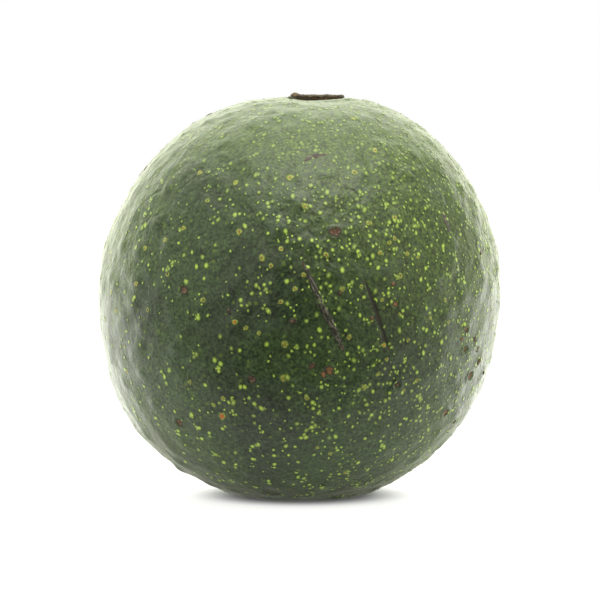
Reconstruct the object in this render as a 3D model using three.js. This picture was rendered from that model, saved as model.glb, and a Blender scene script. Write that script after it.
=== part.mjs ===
// A whole round avocado that stands on a small flat spot, with the woody button of its stem on top.
// Millimetres, +Z up. The origin is the middle of the flat spot, and the fruit's front faces -Y.

import * as THREE from 'three';
import { mergeVertices } from 'three/addons/utils/BufferGeometryUtils.js';

// Driving dimensions. Lengths are in millimetres and angles in degrees.
const CENTRE_HEIGHT = 46.3; // the fruit's centre above the spot that it rests on
const SPOT_ROUNDING = 0.5; // depth over which the skin turns into the flat spot

// The smooth body is a ball of this radius with a few long waves between stem end and blossom end.
const BODY = {
  radius: 48.27,
  stemEnd: 0.32, // longer towards the stem
  tallness: 1.15, // longer towards both ends
  shoulder: 0.3, // fuller just under the crown
  fullness: -0.75, // fuller between the waist and the ends
  leanWaist: -0.05, // the three lean terms push the skin towards +X
  leanShoulder: 0.6,
  leanCrown: 0.17,
};

// The shallow dip round the stem, and the socket in its middle that holds the button.
const STEM = {
  offset: 4.0, // the stem's axis stands this far towards +X
  dipDepth: 2.0,
  dipAcross: 8.8,
  dipFrontToBack: 14.0,
  socketFloor: 46.4, // above the fruit's centre
  socketRadius: 7.3,
  wallWidth: 0.6,
};

// The button is a disc with an uneven rim and top. It stands clear of the socket all round.
const BUTTON = {
  radius: 6.25,
  clearance: 0.3,
  topHeight: 48.55, // above the fruit's centre
  edgeRound: 0.45,
  knobHeight: 0.55,
  knobWidth: 1.7,
  hollow: 0.25,
  segments: 44,
};

// Low pebbles cover the skin, and broad swells run under them.
const PEBBLES = { seed: 11, count: 760, lowest: 0.1, highest: 0.4, narrowest: 1.15, widest: 1.9, stray: 2.6 };
const SWELLS = { seed: 29, count: 64, lowest: -0.34, highest: 0.34, narrowest: 5.0, widest: 8.0, stray: 6.0 };
// Swells and hollows on the outline seen from the front: [angle from the top towards +X, rise].
const OUTLINE_SWELLS = [
  [-150, -0.4], [-126, 0.3], [-101, -0.5], [-74, 0.46], [-58, -0.32], [-24, 0.2], [-9, -0.5],
  [16, 0.2], [54, -0.38], [78, 0.3], [134, -0.26], [157, 0.18],
];
const OUTLINE_SWELL_WIDTH = 6.5;
const OUTLINE_BAND = 0.45; // random swells die out this near to the outline, as a share of the radius
const CALM_BAND = 3.0; // the relief dies out over this width round the socket

// Marks are placed as they show from the front, seen from this far away and slightly above:
// each place is [across, up] from the fruit's centre.
const VIEW = { distance: 1000, tilt: 4 };

const SCAR = {
  route: [[0.7, 8.8], [3.3, 3.2], [5.5, -2.1], [8.1, -7.0], [10.2, -11.9]],
  width: 0.75,
  height: 0.32,
};
const CREASE = {
  route: [[15.3, 4.8], [17.7, -1.5], [18.9, -5.4], [21.0, -11.9]],
  width: 0.6,
  height: -0.32,
};

// Old wounds in the skin: [across, up, radius].
const FRONT_WOUNDS = [
  [8.4, 16.0, 1.2], [-27.6, 2.4, 1.1], [6.4, -16.8, 1.2], [2.8, -15.7, 0.9], [-11.4, -18.7, 1.0],
  [-28.5, -28.9, 1.2], [23.0, -20.2, 1.1], [39.4, -6.9, 1.1], [39.1, -11.6, 1.0], [40.3, -18.0, 1.3],
  [34.4, -26.6, 1.1], [22.5, -0.9, 1.0],
];
const BACK_WOUNDS = { seed: 47, count: 12, smallest: 0.9, largest: 1.3 };
const WOUND = { depthOfRadius: 0.3, rimOfRadius: 0.14, rimAt: 1.2, rimWidth: 0.35, reach: 2.2 };

// The skin starts as an even net of triangles, and is refined to these edge lengths where it turns fast.
const NET = { detail: 19, socketEdge: 0.95, markEdge: 0.95, rimEdge: 1.7, passes: 4 };

const UP = new THREE.Vector3(0, 0, 1);
const GOLDEN_ANGLE = Math.PI * (3 - Math.sqrt(5));

const skinMaterial = new THREE.MeshStandardMaterial({ color: 0x56693f, roughness: 0.42, metalness: 0 });
const stemMaterial = new THREE.MeshStandardMaterial({ color: 0x3c342b, roughness: 0.85, metalness: 0 });

// A repeatable row of draws between 0 and 1 from a whole-number seed.
function seededDraws(seed) {
  let state = seed | 0;
  return () => {
    state = (state + 0x6d2b79f5) | 0;
    let mix = Math.imul(state ^ (state >>> 15), 1 | state);
    mix = (mix + Math.imul(mix ^ (mix >>> 7), 61 | mix)) ^ mix;
    return ((mix ^ (mix >>> 14)) >>> 0) / 4294967296;
  };
}

// Bumps spread evenly over the ball along a golden spiral, each strayed from its place by a draw.
function scatterBumps({ seed, count, lowest, highest, narrowest, widest, stray }) {
  const draw = seededDraws(seed);
  return Array.from({ length: count }, (_, i) => {
    const height = 1 - (2 * i + 1) / count;
    const ring = Math.sqrt(1 - height * height);
    const turn = i * GOLDEN_ANGLE;
    const place = new THREE.Vector3(ring * Math.cos(turn), ring * Math.sin(turn), height);
    const shift = new THREE.Vector3(draw() - 0.5, draw() - 0.5, draw() - 0.5);
    place.addScaledVector(shift, (2 * stray) / BODY.radius).normalize();
    return {
      place,
      rise: THREE.MathUtils.lerp(lowest, highest, draw()),
      width: THREE.MathUtils.lerp(narrowest, widest, draw()),
    };
  });
}

function outlineSwell([degrees, rise]) {
  const angle = THREE.MathUtils.degToRad(degrees);
  return { place: new THREE.Vector3(Math.sin(angle), 0, Math.cos(angle)), rise, width: OUTLINE_SWELL_WIDTH };
}

const swells = scatterBumps(SWELLS).map((swell) => {
  const clear = THREE.MathUtils.smoothstep(Math.abs(swell.place.y), 0.1, OUTLINE_BAND);
  return { ...swell, rise: swell.rise * clear };
});
const bumps = [...scatterBumps(PEBBLES), ...swells, ...OUTLINE_SWELLS.map(outlineSwell)];

// Distance of the smooth skin from the fruit's centre, in the direction of a unit vector.
function bodyRadius(dir) {
  const c = dir.z;
  const smooth = BODY.radius
    + BODY.stemEnd * c
    + BODY.tallness * (3 * c ** 2 - 1) / 2
    + BODY.shoulder * (5 * c ** 3 - 3 * c) / 2
    + BODY.fullness * (35 * c ** 4 - 30 * c ** 2 + 3) / 8
    + dir.x * (BODY.leanWaist + BODY.leanShoulder * 2 * c + BODY.leanCrown * (4 * c ** 2 - 1));
  if (c <= 0) return smooth;
  const across = (dir.x * smooth - STEM.offset) / STEM.dipAcross;
  const along = dir.y * smooth / STEM.dipFrontToBack;
  return smooth - STEM.dipDepth * Math.exp(-(across ** 2) - along ** 2);
}

function relief(dir) {
  let rise = 0;
  for (const bump of bumps) {
    const away = dir.distanceTo(bump.place) * BODY.radius / bump.width;
    if (away < 4) rise += bump.rise * Math.exp(-away * away / 2);
  }
  return rise;
}

// The direction of the skin that shows at [across, up] when the fruit is seen from the front.
function seenAt([across, up]) {
  const tilt = THREE.MathUtils.degToRad(VIEW.tilt);
  const eye = new THREE.Vector3(0, -Math.cos(tilt), Math.sin(tilt)).multiplyScalar(VIEW.distance);
  const ray = new THREE.Vector3(across, up * Math.sin(tilt), up * Math.cos(tilt)).sub(eye).normalize();
  let radius = BODY.radius;
  const dir = new THREE.Vector3();
  for (let step = 0; step < 5; step++) {
    const nearest = -eye.dot(ray);
    const half = Math.sqrt(Math.max(0, radius ** 2 - eye.lengthSq() + nearest ** 2));
    dir.copy(eye).addScaledVector(ray, nearest - half).normalize();
    radius = bodyRadius(dir);
  }
  return dir;
}

const scars = [SCAR, CREASE].map(({ route, width, height }) => ({ points: route.map(seenAt), width, height }));

function scatterBackWounds({ seed, count, smallest, largest }) {
  const draw = seededDraws(seed);
  return Array.from({ length: count }, () => {
    const turn = Math.PI * THREE.MathUtils.lerp(0.15, 0.85, draw());
    const height = THREE.MathUtils.lerp(-0.7, 0.75, draw());
    const ring = Math.sqrt(1 - height * height);
    const place = new THREE.Vector3(ring * Math.cos(turn), ring * Math.sin(turn), height);
    return { place, radius: THREE.MathUtils.lerp(smallest, largest, draw()) };
  });
}

const wounds = [
  ...FRONT_WOUNDS.map(([across, up, radius]) => ({ place: seenAt([across, up]), radius })),
  ...scatterBackWounds(BACK_WOUNDS),
];

// Distance on the ball from a direction to the nearest part of a scar, and how far along it that is.
function nearScar(dir, { points }) {
  const closest = new THREE.Vector3();
  const line = new THREE.Line3();
  let best = { away: Infinity, along: 0 };
  for (let i = 0; i + 1 < points.length; i++) {
    line.set(points[i], points[i + 1]);
    const t = line.closestPointToPointParameter(dir, true);
    const away = line.at(t, closest).normalize().distanceTo(dir) * BODY.radius;
    if (away < best.away) best = { away, along: (i + t) / (points.length - 1) };
  }
  return best;
}

function marks(dir) {
  let rise = 0;
  for (const scar of scars) {
    const { away, along } = nearScar(dir, scar);
    if (away < scar.width) {
      const taper = Math.sqrt(Math.sin(Math.PI * THREE.MathUtils.clamp(along, 0.02, 0.98)));
      rise += scar.height * taper * (1 - (away / scar.width) ** 2) ** 2;
    }
  }
  for (const { place, radius } of wounds) {
    const away = dir.distanceTo(place) * BODY.radius / radius;
    if (away < 1) rise -= WOUND.depthOfRadius * radius * (1 - away ** 2) ** 2;
    if (away < WOUND.reach) {
      rise += WOUND.rimOfRadius * radius * Math.exp(-(((away - WOUND.rimAt) / WOUND.rimWidth) ** 2));
    }
  }
  return rise;
}

// Distance from the stem's upright axis to the skin in this direction.
function awayFromStem(dir, radius) {
  return dir.z > 0 ? Math.hypot(dir.x * radius - STEM.offset, dir.y * radius) : Infinity;
}

function skinRadius(dir) {
  const { smoothstep, lerp } = THREE.MathUtils;
  const smooth = bodyRadius(dir);
  const away = awayFromStem(dir, smooth);
  const calm = smoothstep(away, STEM.socketRadius, STEM.socketRadius + CALM_BAND);
  let radius = smooth + calm * relief(dir) + marks(dir);
  if (dir.z > 0) {
    const half = STEM.wallWidth / 2;
    const open = 1 - smoothstep(away, STEM.socketRadius - half, STEM.socketRadius + half);
    radius = lerp(radius, STEM.socketFloor / dir.z, open);
  } else if (dir.z < 0) {
    const spot = CENTRE_HEIGHT / -dir.z;
    const turnIn = Math.max(SPOT_ROUNDING - Math.abs(radius - spot), 0);
    radius = Math.min(radius, spot) - turnIn ** 2 / (4 * SPOT_ROUNDING);
  }
  return radius;
}

// The longest edge that the net may have round a point of the ball.
function edgeLimit(dir) {
  const radius = bodyRadius(dir);
  const away = awayFromStem(dir, radius);
  if (Math.abs(away - STEM.socketRadius) < STEM.wallWidth * 1.2) return NET.socketEdge;
  if (scars.some((scar) => nearScar(dir, scar).away < scar.width * 1.1)) return NET.markEdge;
  if (wounds.some((w) => dir.distanceTo(w.place) * BODY.radius < w.radius * 1.25)) return NET.markEdge;
  const flatRim = Math.abs(radius * -dir.z - CENTRE_HEIGHT);
  if (dir.z < 0 && flatRim < 0.25) return NET.rimEdge;
  return Infinity;
}

// Halves every edge that is longer than its limit, in both triangles that share it.
function refineOnce(points, triangles) {
  const middles = new Map();
  const middleOf = (a, b) => {
    const key = a < b ? `${a},${b}` : `${b},${a}`;
    if (!middles.has(key)) {
      const middle = points[a].clone().add(points[b]).normalize();
      const length = points[a].distanceTo(points[b]) * BODY.radius;
      const limit = Math.min(edgeLimit(middle), edgeLimit(points[a]), edgeLimit(points[b]));
      middles.set(key, length > limit ? points.push(middle) - 1 : -1);
    }
    return middles.get(key);
  };
  const finer = [];
  for (const [a, b, c] of triangles) {
    const [ab, bc, ca] = [middleOf(a, b), middleOf(b, c), middleOf(c, a)];
    const split = [ab, bc, ca].filter((m) => m >= 0).length;
    if (split === 0) finer.push([a, b, c]);
    else if (split === 3) finer.push([a, ab, ca], [ab, b, bc], [ca, bc, c], [ab, bc, ca]);
    else if (split === 1) {
      if (ab >= 0) finer.push([a, ab, c], [ab, b, c]);
      else if (bc >= 0) finer.push([b, bc, a], [bc, c, a]);
      else finer.push([c, ca, b], [ca, a, b]);
    } else if (ab < 0) finer.push([c, ca, bc], [ca, a, bc], [a, b, bc]);
    else if (bc < 0) finer.push([a, ab, ca], [ab, b, ca], [b, c, ca]);
    else finer.push([b, bc, ab], [bc, c, ab], [c, a, ab]);
  }
  return finer;
}

function fruitGeometry() {
  const ball = new THREE.IcosahedronGeometry(1, NET.detail);
  ball.deleteAttribute('normal');
  ball.deleteAttribute('uv');
  const net = mergeVertices(ball, 1e-6);
  const position = net.getAttribute('position');
  const points = Array.from({ length: position.count }, (_, i) =>
    new THREE.Vector3().fromBufferAttribute(position, i).normalize());
  let triangles = [];
  for (let i = 0; i < net.index.count; i += 3) {
    triangles.push([net.index.getX(i), net.index.getX(i + 1), net.index.getX(i + 2)]);
  }
  for (let pass = 0; pass < NET.passes; pass++) triangles = refineOnce(points, triangles);

  const skin = points.map((dir) => {
    const point = dir.clone().multiplyScalar(skinRadius(dir)).addScaledVector(UP, CENTRE_HEIGHT);
    return Math.abs(point.z) < 1e-6 ? [point.x, point.y, 0] : point.toArray();
  });
  const geometry = new THREE.BufferGeometry();
  geometry.setAttribute('position', new THREE.Float32BufferAttribute(skin.flat(), 3));
  geometry.setIndex(triangles.flat());
  return geometry;
}

// How far the button's rim stands out in a direction round the stem, as a share of its radius.
function rimShare(turn) {
  return 1 + 0.02 * Math.sin(2 * turn + 0.6) + 0.018 * Math.sin(3 * turn + 2.1) + 0.012 * Math.sin(7 * turn);
}

// Unevenness of the button's top: a hollow middle, grain, and a knob where the stalk broke off.
function buttonTop(x, y) {
  const share = Math.hypot(x, y) / BUTTON.radius;
  const hollow = -BUTTON.hollow * Math.exp(-((share / 0.55) ** 2));
  const grain = 0.07 * Math.sin(2.1 * x + 0.7 * y) + 0.06 * Math.sin(1.3 * y - 2.6 * x + 1.2);
  const knob = Math.hypot(x + 0.82 * BUTTON.radius, y + 0.12 * BUTTON.radius) / BUTTON.knobWidth;
  return hollow + grain + BUTTON.knobHeight * Math.exp(-(knob ** 2));
}

function buttonGeometry() {
  const { radius, edgeRound, topHeight, clearance, segments } = BUTTON;
  const underside = STEM.socketFloor + clearance;
  const profile = [
    [0, underside], [0.5 * radius, underside], [radius - edgeRound, underside],
    [radius, underside + edgeRound], [radius, topHeight - edgeRound],
    [radius - 0.3 * edgeRound, topHeight - 0.3 * edgeRound], [radius - edgeRound, topHeight],
    [0.8 * radius, topHeight], [0.62 * radius, topHeight], [0.42 * radius, topHeight],
    [0.2 * radius, topHeight], [0, topHeight],
  ].map(([away, height]) => new THREE.Vector2(away, height));
  const disc = new THREE.LatheGeometry(profile, segments);
  disc.rotateX(Math.PI / 2);
  disc.deleteAttribute('normal');
  disc.deleteAttribute('uv');
  const geometry = mergeVertices(disc, 1e-4);
  const position = geometry.getAttribute('position');
  for (let i = 0; i < position.count; i++) {
    const share = rimShare(Math.atan2(position.getY(i), position.getX(i)));
    const x = position.getX(i) * share;
    const y = position.getY(i) * share;
    const raised = (position.getZ(i) - underside) / (topHeight - underside);
    position.setXYZ(i, x, y, position.getZ(i) + raised * buttonTop(x, y));
  }
  return geometry;
}

const avocado = new THREE.Group();
avocado.name = 'avocado';

const fruit = new THREE.Mesh(fruitGeometry(), skinMaterial);
fruit.name = 'fruit';
avocado.add(fruit);

const button = new THREE.Mesh(buttonGeometry(), stemMaterial);
button.name = 'stem_button';
button.position.set(STEM.offset, 0, CENTRE_HEIGHT);
avocado.add(button);

export default avocado;
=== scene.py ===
"""A whole round green avocado on a pale floor: waxy speckled rind, scars and the woody stem button."""

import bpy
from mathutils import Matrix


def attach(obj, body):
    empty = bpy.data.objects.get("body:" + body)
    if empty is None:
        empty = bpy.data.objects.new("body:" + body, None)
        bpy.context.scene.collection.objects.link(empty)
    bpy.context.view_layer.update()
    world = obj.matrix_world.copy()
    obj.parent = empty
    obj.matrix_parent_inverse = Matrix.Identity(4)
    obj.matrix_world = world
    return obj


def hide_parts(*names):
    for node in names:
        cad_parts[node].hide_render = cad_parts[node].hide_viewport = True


bl_info = {
    "name": "Speckled Avocado",
    "version": (1, 0, 0),
    "blender": (4, 5, 0),
    "location": "3D View > Sidebar > Avocado",
    "description": "Builds a whole round avocado with a speckled rind, scars and a stem button",
    "category": "Object",
}

import math
from typing import NamedTuple

import bpy
import numpy as np
from bpy.props import FloatProperty, FloatVectorProperty, IntProperty, PointerProperty
from bpy.types import Node, NodeSocket, Operator, Panel, PropertyGroup
from mathutils import Vector, noise

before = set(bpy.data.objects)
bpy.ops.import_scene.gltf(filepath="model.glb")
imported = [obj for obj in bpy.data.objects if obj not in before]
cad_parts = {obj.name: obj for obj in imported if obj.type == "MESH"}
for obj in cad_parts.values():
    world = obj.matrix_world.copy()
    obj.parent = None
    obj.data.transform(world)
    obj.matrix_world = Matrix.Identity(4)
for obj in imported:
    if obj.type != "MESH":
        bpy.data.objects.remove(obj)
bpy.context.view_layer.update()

MM = 0.001
PICTURE_SIDE = 600  # the photograph's frame, in pixels
GOLDEN_ANGLE = math.pi * (3 - math.sqrt(5))


# Settings


def length(name, description, millimetres):
    return FloatProperty(
        name=name, description=description, default=millimetres * MM, unit="LENGTH", precision=5
    )


def number(name, description, default, **limits):
    return FloatProperty(name=name, description=description, default=default, **limits)


def angle(name, description, degrees):
    return FloatProperty(
        name=name, description=description, default=math.radians(degrees), subtype="ANGLE"
    )


def whole(name, description, default):
    return IntProperty(name=name, description=description, default=default, min=0)


def colour(name, description, *rgb):
    return FloatVectorProperty(
        name=name, description=description, default=(*rgb, 1.0), size=4, subtype="COLOR", min=0, max=1
    )


class AvocadoBody(PropertyGroup):
    """The smooth form of the fruit: a ball with a few long waves, as in the solid"""

    centre_height: length("Centre Height", "Height of the fruit's centre above its resting spot", 46.3)
    spot_rounding: length("Spot Rounding", "Depth over which the rind turns into the flat spot", 0.5)
    radius: length("Radius", "Mean distance from the centre to the rind", 48.27)
    stem_end: length("Stem End", "Extra length towards the stem", 0.32)
    tallness: length("Tallness", "Extra length towards both ends", 1.15)
    shoulder: length("Shoulder", "Fullness just under the crown", 0.3)
    fullness: length("Fullness", "Fullness between the waist and the ends", -0.75)
    lean_waist: length("Lean at Waist", "Lean of the rind towards +X at the waist", -0.05)
    lean_shoulder: length("Lean at Shoulder", "Lean of the rind towards +X at the shoulder", 0.6)
    lean_crown: length("Lean at Crown", "Lean of the rind towards +X at the crown", 0.17)


class AvocadoStem(PropertyGroup):
    """The dip round the stem, its socket and the woody button"""

    offset: length("Offset", "Distance of the stem's axis from the fruit's, towards +X", 4.0)
    dip_depth: length("Dip Depth", "Depth of the shallow dip round the stem", 2.0)
    dip_across: length("Dip Width", "Width of the dip from side to side", 8.8)
    dip_along: length("Dip Length", "Width of the dip from front to back", 14.0)
    socket_floor: length("Socket Floor", "Height of the socket's floor above the fruit's centre", 46.4)
    socket_radius: length("Socket Radius", "Radius of the socket at half its wall", 7.3)
    wall_width: length("Wall Width", "Width of the socket's sloping wall", 0.6)
    calm_band: length("Calm Band", "Width over which the relief dies out round the socket", 3.0)
    button_radius: length("Button Radius", "Mean radius of the woody button", 6.25)
    clearance: length("Clearance", "Gap under the button", 0.3)
    top_height: length("Top Height", "Height of the button's top above the fruit's centre", 48.55)
    edge_round: length("Edge Rounding", "Rounding of the button's edges", 0.3)
    knob_height: length("Knob Height", "Height of the knob where the stalk broke off", 0.55)
    knob_width: length("Knob Width", "Width of that knob", 1.7)
    hollow: length("Hollow", "Depth of the button's hollow middle", 0.25)
    lip: length("Lip", "Swelling of the rind in front of the button", 0.6)


class AvocadoRelief(PropertyGroup):
    """The pebbles and swells of the rind, as in the solid, and its finer grain"""

    pebble_count: whole("Pebbles", "Number of pebbles on the rind", 760)
    pebble_seed: whole("Pebble Seed", "Seed of the pebbles' draws", 11)
    pebble_lowest: length("Lowest Pebble", "Height of the lowest pebble", 0.1)
    pebble_highest: length("Highest Pebble", "Height of the highest pebble", 0.4)
    pebble_narrowest: length("Narrowest Pebble", "Width of the narrowest pebble", 1.15)
    pebble_widest: length("Widest Pebble", "Width of the widest pebble", 1.9)
    pebble_stray: length("Pebble Stray", "How far a pebble strays from an even pattern", 2.6)
    swell_count: whole("Swells", "Number of broad swells under the pebbles", 64)
    swell_seed: whole("Swell Seed", "Seed of the swells' draws", 29)
    swell_rise: length("Swell Rise", "Greatest rise or fall of a swell", 0.34)
    swell_narrowest: length("Narrowest Swell", "Width of the narrowest swell", 5.0)
    swell_widest: length("Widest Swell", "Width of the widest swell", 8.0)
    swell_stray: length("Swell Stray", "How far a swell strays from an even pattern", 6.0)
    outline_width: length("Outline Swell Width", "Width of the swells on the front outline", 6.5)
    outline_band: number("Outline Band", "Where random swells die out near the outline", 0.45)
    dimple_depth: length("Dimple Depth", "Depth of the small dimples between lenticels", 0.07)
    dimple_width: length("Dimple Width", "Width of those dimples", 2.3)


class AvocadoSpots(PropertyGroup):
    """The lenticels, scabs and old wounds of the rind"""

    cluster_count: whole("Lenticel Clusters", "Clusters before the bare parts are thinned out", 6600)
    most_dots: whole("Most Dots", "Greatest number of lenticels in one place", 5)
    spread: length("Cluster Spread", "How far the lenticels of a cluster lie apart", 1.0)
    apart: length("Least Distance", "Least distance between places where lenticels grow", 1.0)
    smallest: length("Smallest Lenticel", "Radius of the smallest lenticel", 0.44)
    largest: length("Largest Lenticel", "Radius of the largest lenticel", 1.05)
    seed: whole("Lenticel Seed", "Seed of the lenticels' draws", 5)
    far_spots: whole("Far Spots", "Number of ringed spots out of the front view", 110)
    far_scabs: whole("Far Scabs", "Number of scabs out of the front view", 14)


class AvocadoColours(PropertyGroup):
    """The colours of the rind, its marks and the wood"""

    deep: colour("Deep Green", "Rind in its darkest patches", 0.024, 0.039, 0.0175)
    fresh: colour("Fresh Green", "Rind in its lighter patches", 0.037, 0.066, 0.02)
    # Painted light in part: the rind turns to this lighter green towards the top and +X, as the light from
    # above and the right would brighten it, and towards the sides and back, over the yellower green of a
    # sun-faded shoulder
    sunny_and_lit_green: colour("Sunlit Green", "Rind of the shoulder, which had the most sun", 0.062, 0.098, 0.0125)
    pale: colour("Pale Green", "Waxy film on the pebbles", 0.09, 0.13, 0.04)
    streak: colour("Streaks", "Yellow-green streaks on the sides", 0.1, 0.15, 0.022)
    # Grey-green of thick wax, and at the crown a painted reflection of the light above in the same grey
    bloom_and_sheen: colour("Bloom", "Grey-green smears where the wax is thick", 0.06, 0.085, 0.05)
    lenticel: colour("Lenticel", "Bright lenticels", 0.46, 0.64, 0.075)
    lenticel_dull: colour("Dull Lenticel", "Lenticels that have greyed", 0.2, 0.28, 0.045)
    lenticel_core: colour("Lenticel Core", "Pale middle of a lenticel", 0.66, 0.78, 0.26)
    halo: colour("Lenticel Halo", "Darker green round a lenticel", 0.022, 0.048, 0.006)
    ring: colour("Spot Ring", "Yellow ring of an old lenticel", 0.38, 0.44, 0.06)
    orange: colour("Spot Orange", "Orange middle of a fresh wound", 0.6, 0.12, 0.015)
    rust: colour("Spot Rust", "Rusty middle of an old lenticel", 0.26, 0.12, 0.04)
    scab: colour("Scab", "Dark purple-brown scab", 0.055, 0.026, 0.02)
    scab_light: colour("Scab Flecks", "Lighter flecks on a scab", 0.24, 0.145, 0.1)
    cork: colour("Cork", "Grey-brown corky scar", 0.27, 0.235, 0.2)
    cork_dark: colour("Dark Cork", "Dark edges of a corky scar", 0.026, 0.026, 0.016)
    # Partly painted shade: the crease is near-black as the shade in its groove would make it, over its own
    # brown corky bark
    crease: colour("Crease", "Brown bark in the dark crease", 0.04, 0.032, 0.024)
    smear: colour("Scratch", "Pale grey-purple of a healed scratch", 0.2, 0.165, 0.15)
    smear_dark: colour("Dark Scratch", "Darker parts of a healed scratch", 0.07, 0.055, 0.05)
    wood: colour("Dry Wood", "Weathered wood of the button", 0.085, 0.052, 0.024)
    wood_dark: colour("Wood Cracks", "Dark cracks in the button", 0.034, 0.022, 0.01)
    wood_light: colour("Light Wood", "Broken fibres of the button", 0.17, 0.09, 0.035)


class AvocadoStage(PropertyGroup):
    """The camera, the lights and the floor"""

    distance: length("Camera Distance", "From the camera to the fruit's centre", 1000.0)
    tilt: angle("Camera Tilt", "How far the camera stands above the fruit's centre", 4.0)
    frame_width: length("Frame Width", "Width that the picture covers at the fruit", 142.3)
    backdrop: number("Backdrop", "Brightness of the white backdrop that the camera sees", 1.0)
    screen_light: number("Screen Light", "Brightness of the white screens round the fruit", 2.4)
    top_light: number("Top Light", "Brightness that the tent's white roof adds", 1.75)
    box_power: number("Softbox Power", "Power of the overhead softbox", 2.4, unit="POWER")


class AvocadoSettings(PropertyGroup):
    """Everything that a user would change"""

    body: PointerProperty(type=AvocadoBody)
    stem: PointerProperty(type=AvocadoStem)
    relief: PointerProperty(type=AvocadoRelief)
    spots: PointerProperty(type=AvocadoSpots)
    colours: PointerProperty(type=AvocadoColours)
    stage: PointerProperty(type=AvocadoStage)


# Marks on the fruit's front. A place is [across, up] from its centre in millimetres, as the camera sees it.

OUTLINE_SWELLS = [
    (-150, -0.4), (-126, 0.3), (-101, -0.5), (-74, 0.46), (-58, -0.32), (-24, 0.2), (-9, -0.5),
    (16, 0.2), (54, -0.38), (78, 0.3), (134, -0.26), (157, 0.18),
]  # angle from the top towards +X in degrees, rise in millimetres

SCAR = {
    "route": [(0.7, 8.8), (3.3, 3.2), (5.5, -2.1), (8.1, -7.0), (10.2, -11.9)], "width": 0.75, "rise": 0.32,
}
CREASE = {"route": [(15.3, 4.8), (17.7, -1.5), (18.9, -5.4), (21.0, -11.9)], "width": 0.6, "rise": -0.32}
CROWN_SCRATCH = [(1.0, 32.9), (3.2, 34.0), (6.4, 34.4)]
SIDE_SCRATCH = [(33.8, 20.6), (34.6, 18.4), (35.4, 16.0)]

# Each mark's strip of scar tissue. Lengths are in millimetres, and widths are half widths: middle is the
# width halfway, which grows by gain along the route, and tip the width at its ends.
STRIPS = {
    "long_scar": {
        "route": SCAR["route"], "middle": 0.75, "gain": 0.35, "tip": 0.3, "rise": 0.16, "tip_rise": 0.02,
        "ragged": 0.6, "seed": 3,
    },
    "crease": {
        "route": CREASE["route"], "middle": 0.5, "gain": 0.25, "tip": 0.12, "rise": 0.05, "tip_rise": 0.05,
        "ragged": 0.4, "seed": 5,
    },
    "crown_scratch": {
        "route": CROWN_SCRATCH, "middle": 0.7, "gain": 0, "tip": 0.12, "rise": 0.04, "tip_rise": 0.04,
        "ragged": 0.5, "seed": 9,
    },
    "side_scratch": {
        "route": SIDE_SCRATCH, "middle": 0.7, "gain": 0, "tip": 0.3, "rise": 0.06, "tip_rise": 0.06,
        "ragged": 0.5, "seed": 13,
    },
}

WOUNDS = [
    (8.4, 16.0, 1.2), (-27.6, 2.4, 1.1), (6.4, -16.8, 1.2), (2.8, -15.7, 0.9), (-11.4, -18.7, 1.0),
    (-28.5, -28.9, 1.2), (23.0, -20.2, 1.1), (39.4, -6.9, 1.1), (39.1, -11.6, 1.0), (40.3, -18.0, 1.3),
    (34.4, -26.6, 1.1), (22.5, -0.9, 1.0),
]  # across, up, radius
BACK_WOUNDS = {"seed": 47, "count": 12, "smallest": 0.9, "largest": 1.3}
WOUND = {"depth": 0.3, "rim": 0.14, "rim_at": 1.2, "rim_width": 0.35, "reach": 2.2}

# Ringed spots: pixel in the photograph, radius in millimetres, and 0 for orange to 1 for dark brown.
RINGED_PIXELS = [
    (290, 178, 1.15, 0.5), (281, 249, 0.8, 0.5), (271, 266, 0.8, 0.6), (295, 289, 0.85, 0.5),
    (281, 302, 0.85, 0.4), (342, 289, 0.9, 0.4), (285, 344, 1.15, 0.5), (283, 378, 1.05, 0.3),
    (222, 416, 1.3, 0.0), (223, 398, 0.8, 0.7), (235, 322, 0.9, 0.1), (246, 328, 0.8, 0.7),
    (259, 333, 0.7, 0.8), (349, 337, 0.85, 0.4), (394, 218, 0.9, 0.5), (380, 253, 0.85, 0.5),
    (389, 243, 0.75, 0.6), (394, 239, 0.75, 0.6), (407, 254, 0.8, 0.5), (418, 257, 0.7, 0.8),
    (369, 223, 0.9, 0.8), (354, 173, 0.9, 0.8), (375, 151, 0.9, 0.5), (353, 119, 0.8, 0.5),
    (364, 387, 1.1, 0.5), (378, 374, 0.85, 0.3), (384, 345, 0.9, 0.1), (386, 359, 0.7, 0.6),
    (203, 300, 0.9, 0.8), (167, 274, 0.85, 0.9), (208, 201, 0.8, 1.0), (148, 310, 0.8, 0.9),
    (112, 292, 0.9, 0.3), (116, 311, 0.9, 0.3), (127, 371, 0.8, 0.6), (125, 347, 0.7, 0.4),
    (400, 276, 0.9, 0.7), (345, 472, 0.8, 0.4), (330, 453, 0.8, 0.5), (317, 447, 0.7, 0.5),
    (304, 275, 0.8, 0.3), (326, 255, 0.9, 0.5), (361, 287, 0.7, 0.6), (445, 300, 0.7, 0.6),
    (430, 318, 0.7, 0.6), (372, 320, 0.6, 0.8), (408, 340, 0.7, 0.4), (404, 390, 0.7, 0.6),
    (183, 228, 0.9, 0.6), (239, 232, 1.0, 0.5), (305, 207, 1.1, 0.5), (145, 248, 0.9, 0.6),
    (165, 240, 0.9, 0.7), (262, 258, 1.1, 0.6), (137, 284, 0.9, 0.5), (214, 405, 0.8, 0.9),
    (236, 183, 0.9, 0.7), (200, 173, 0.9, 0.5), (190, 382, 0.8, 0.5), (307, 398, 0.8, 0.6),
    (400, 315, 0.7, 0.7), (448, 322, 0.8, 0.5), (382, 300, 0.7, 0.6), (416, 380, 0.8, 0.4),
]

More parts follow.
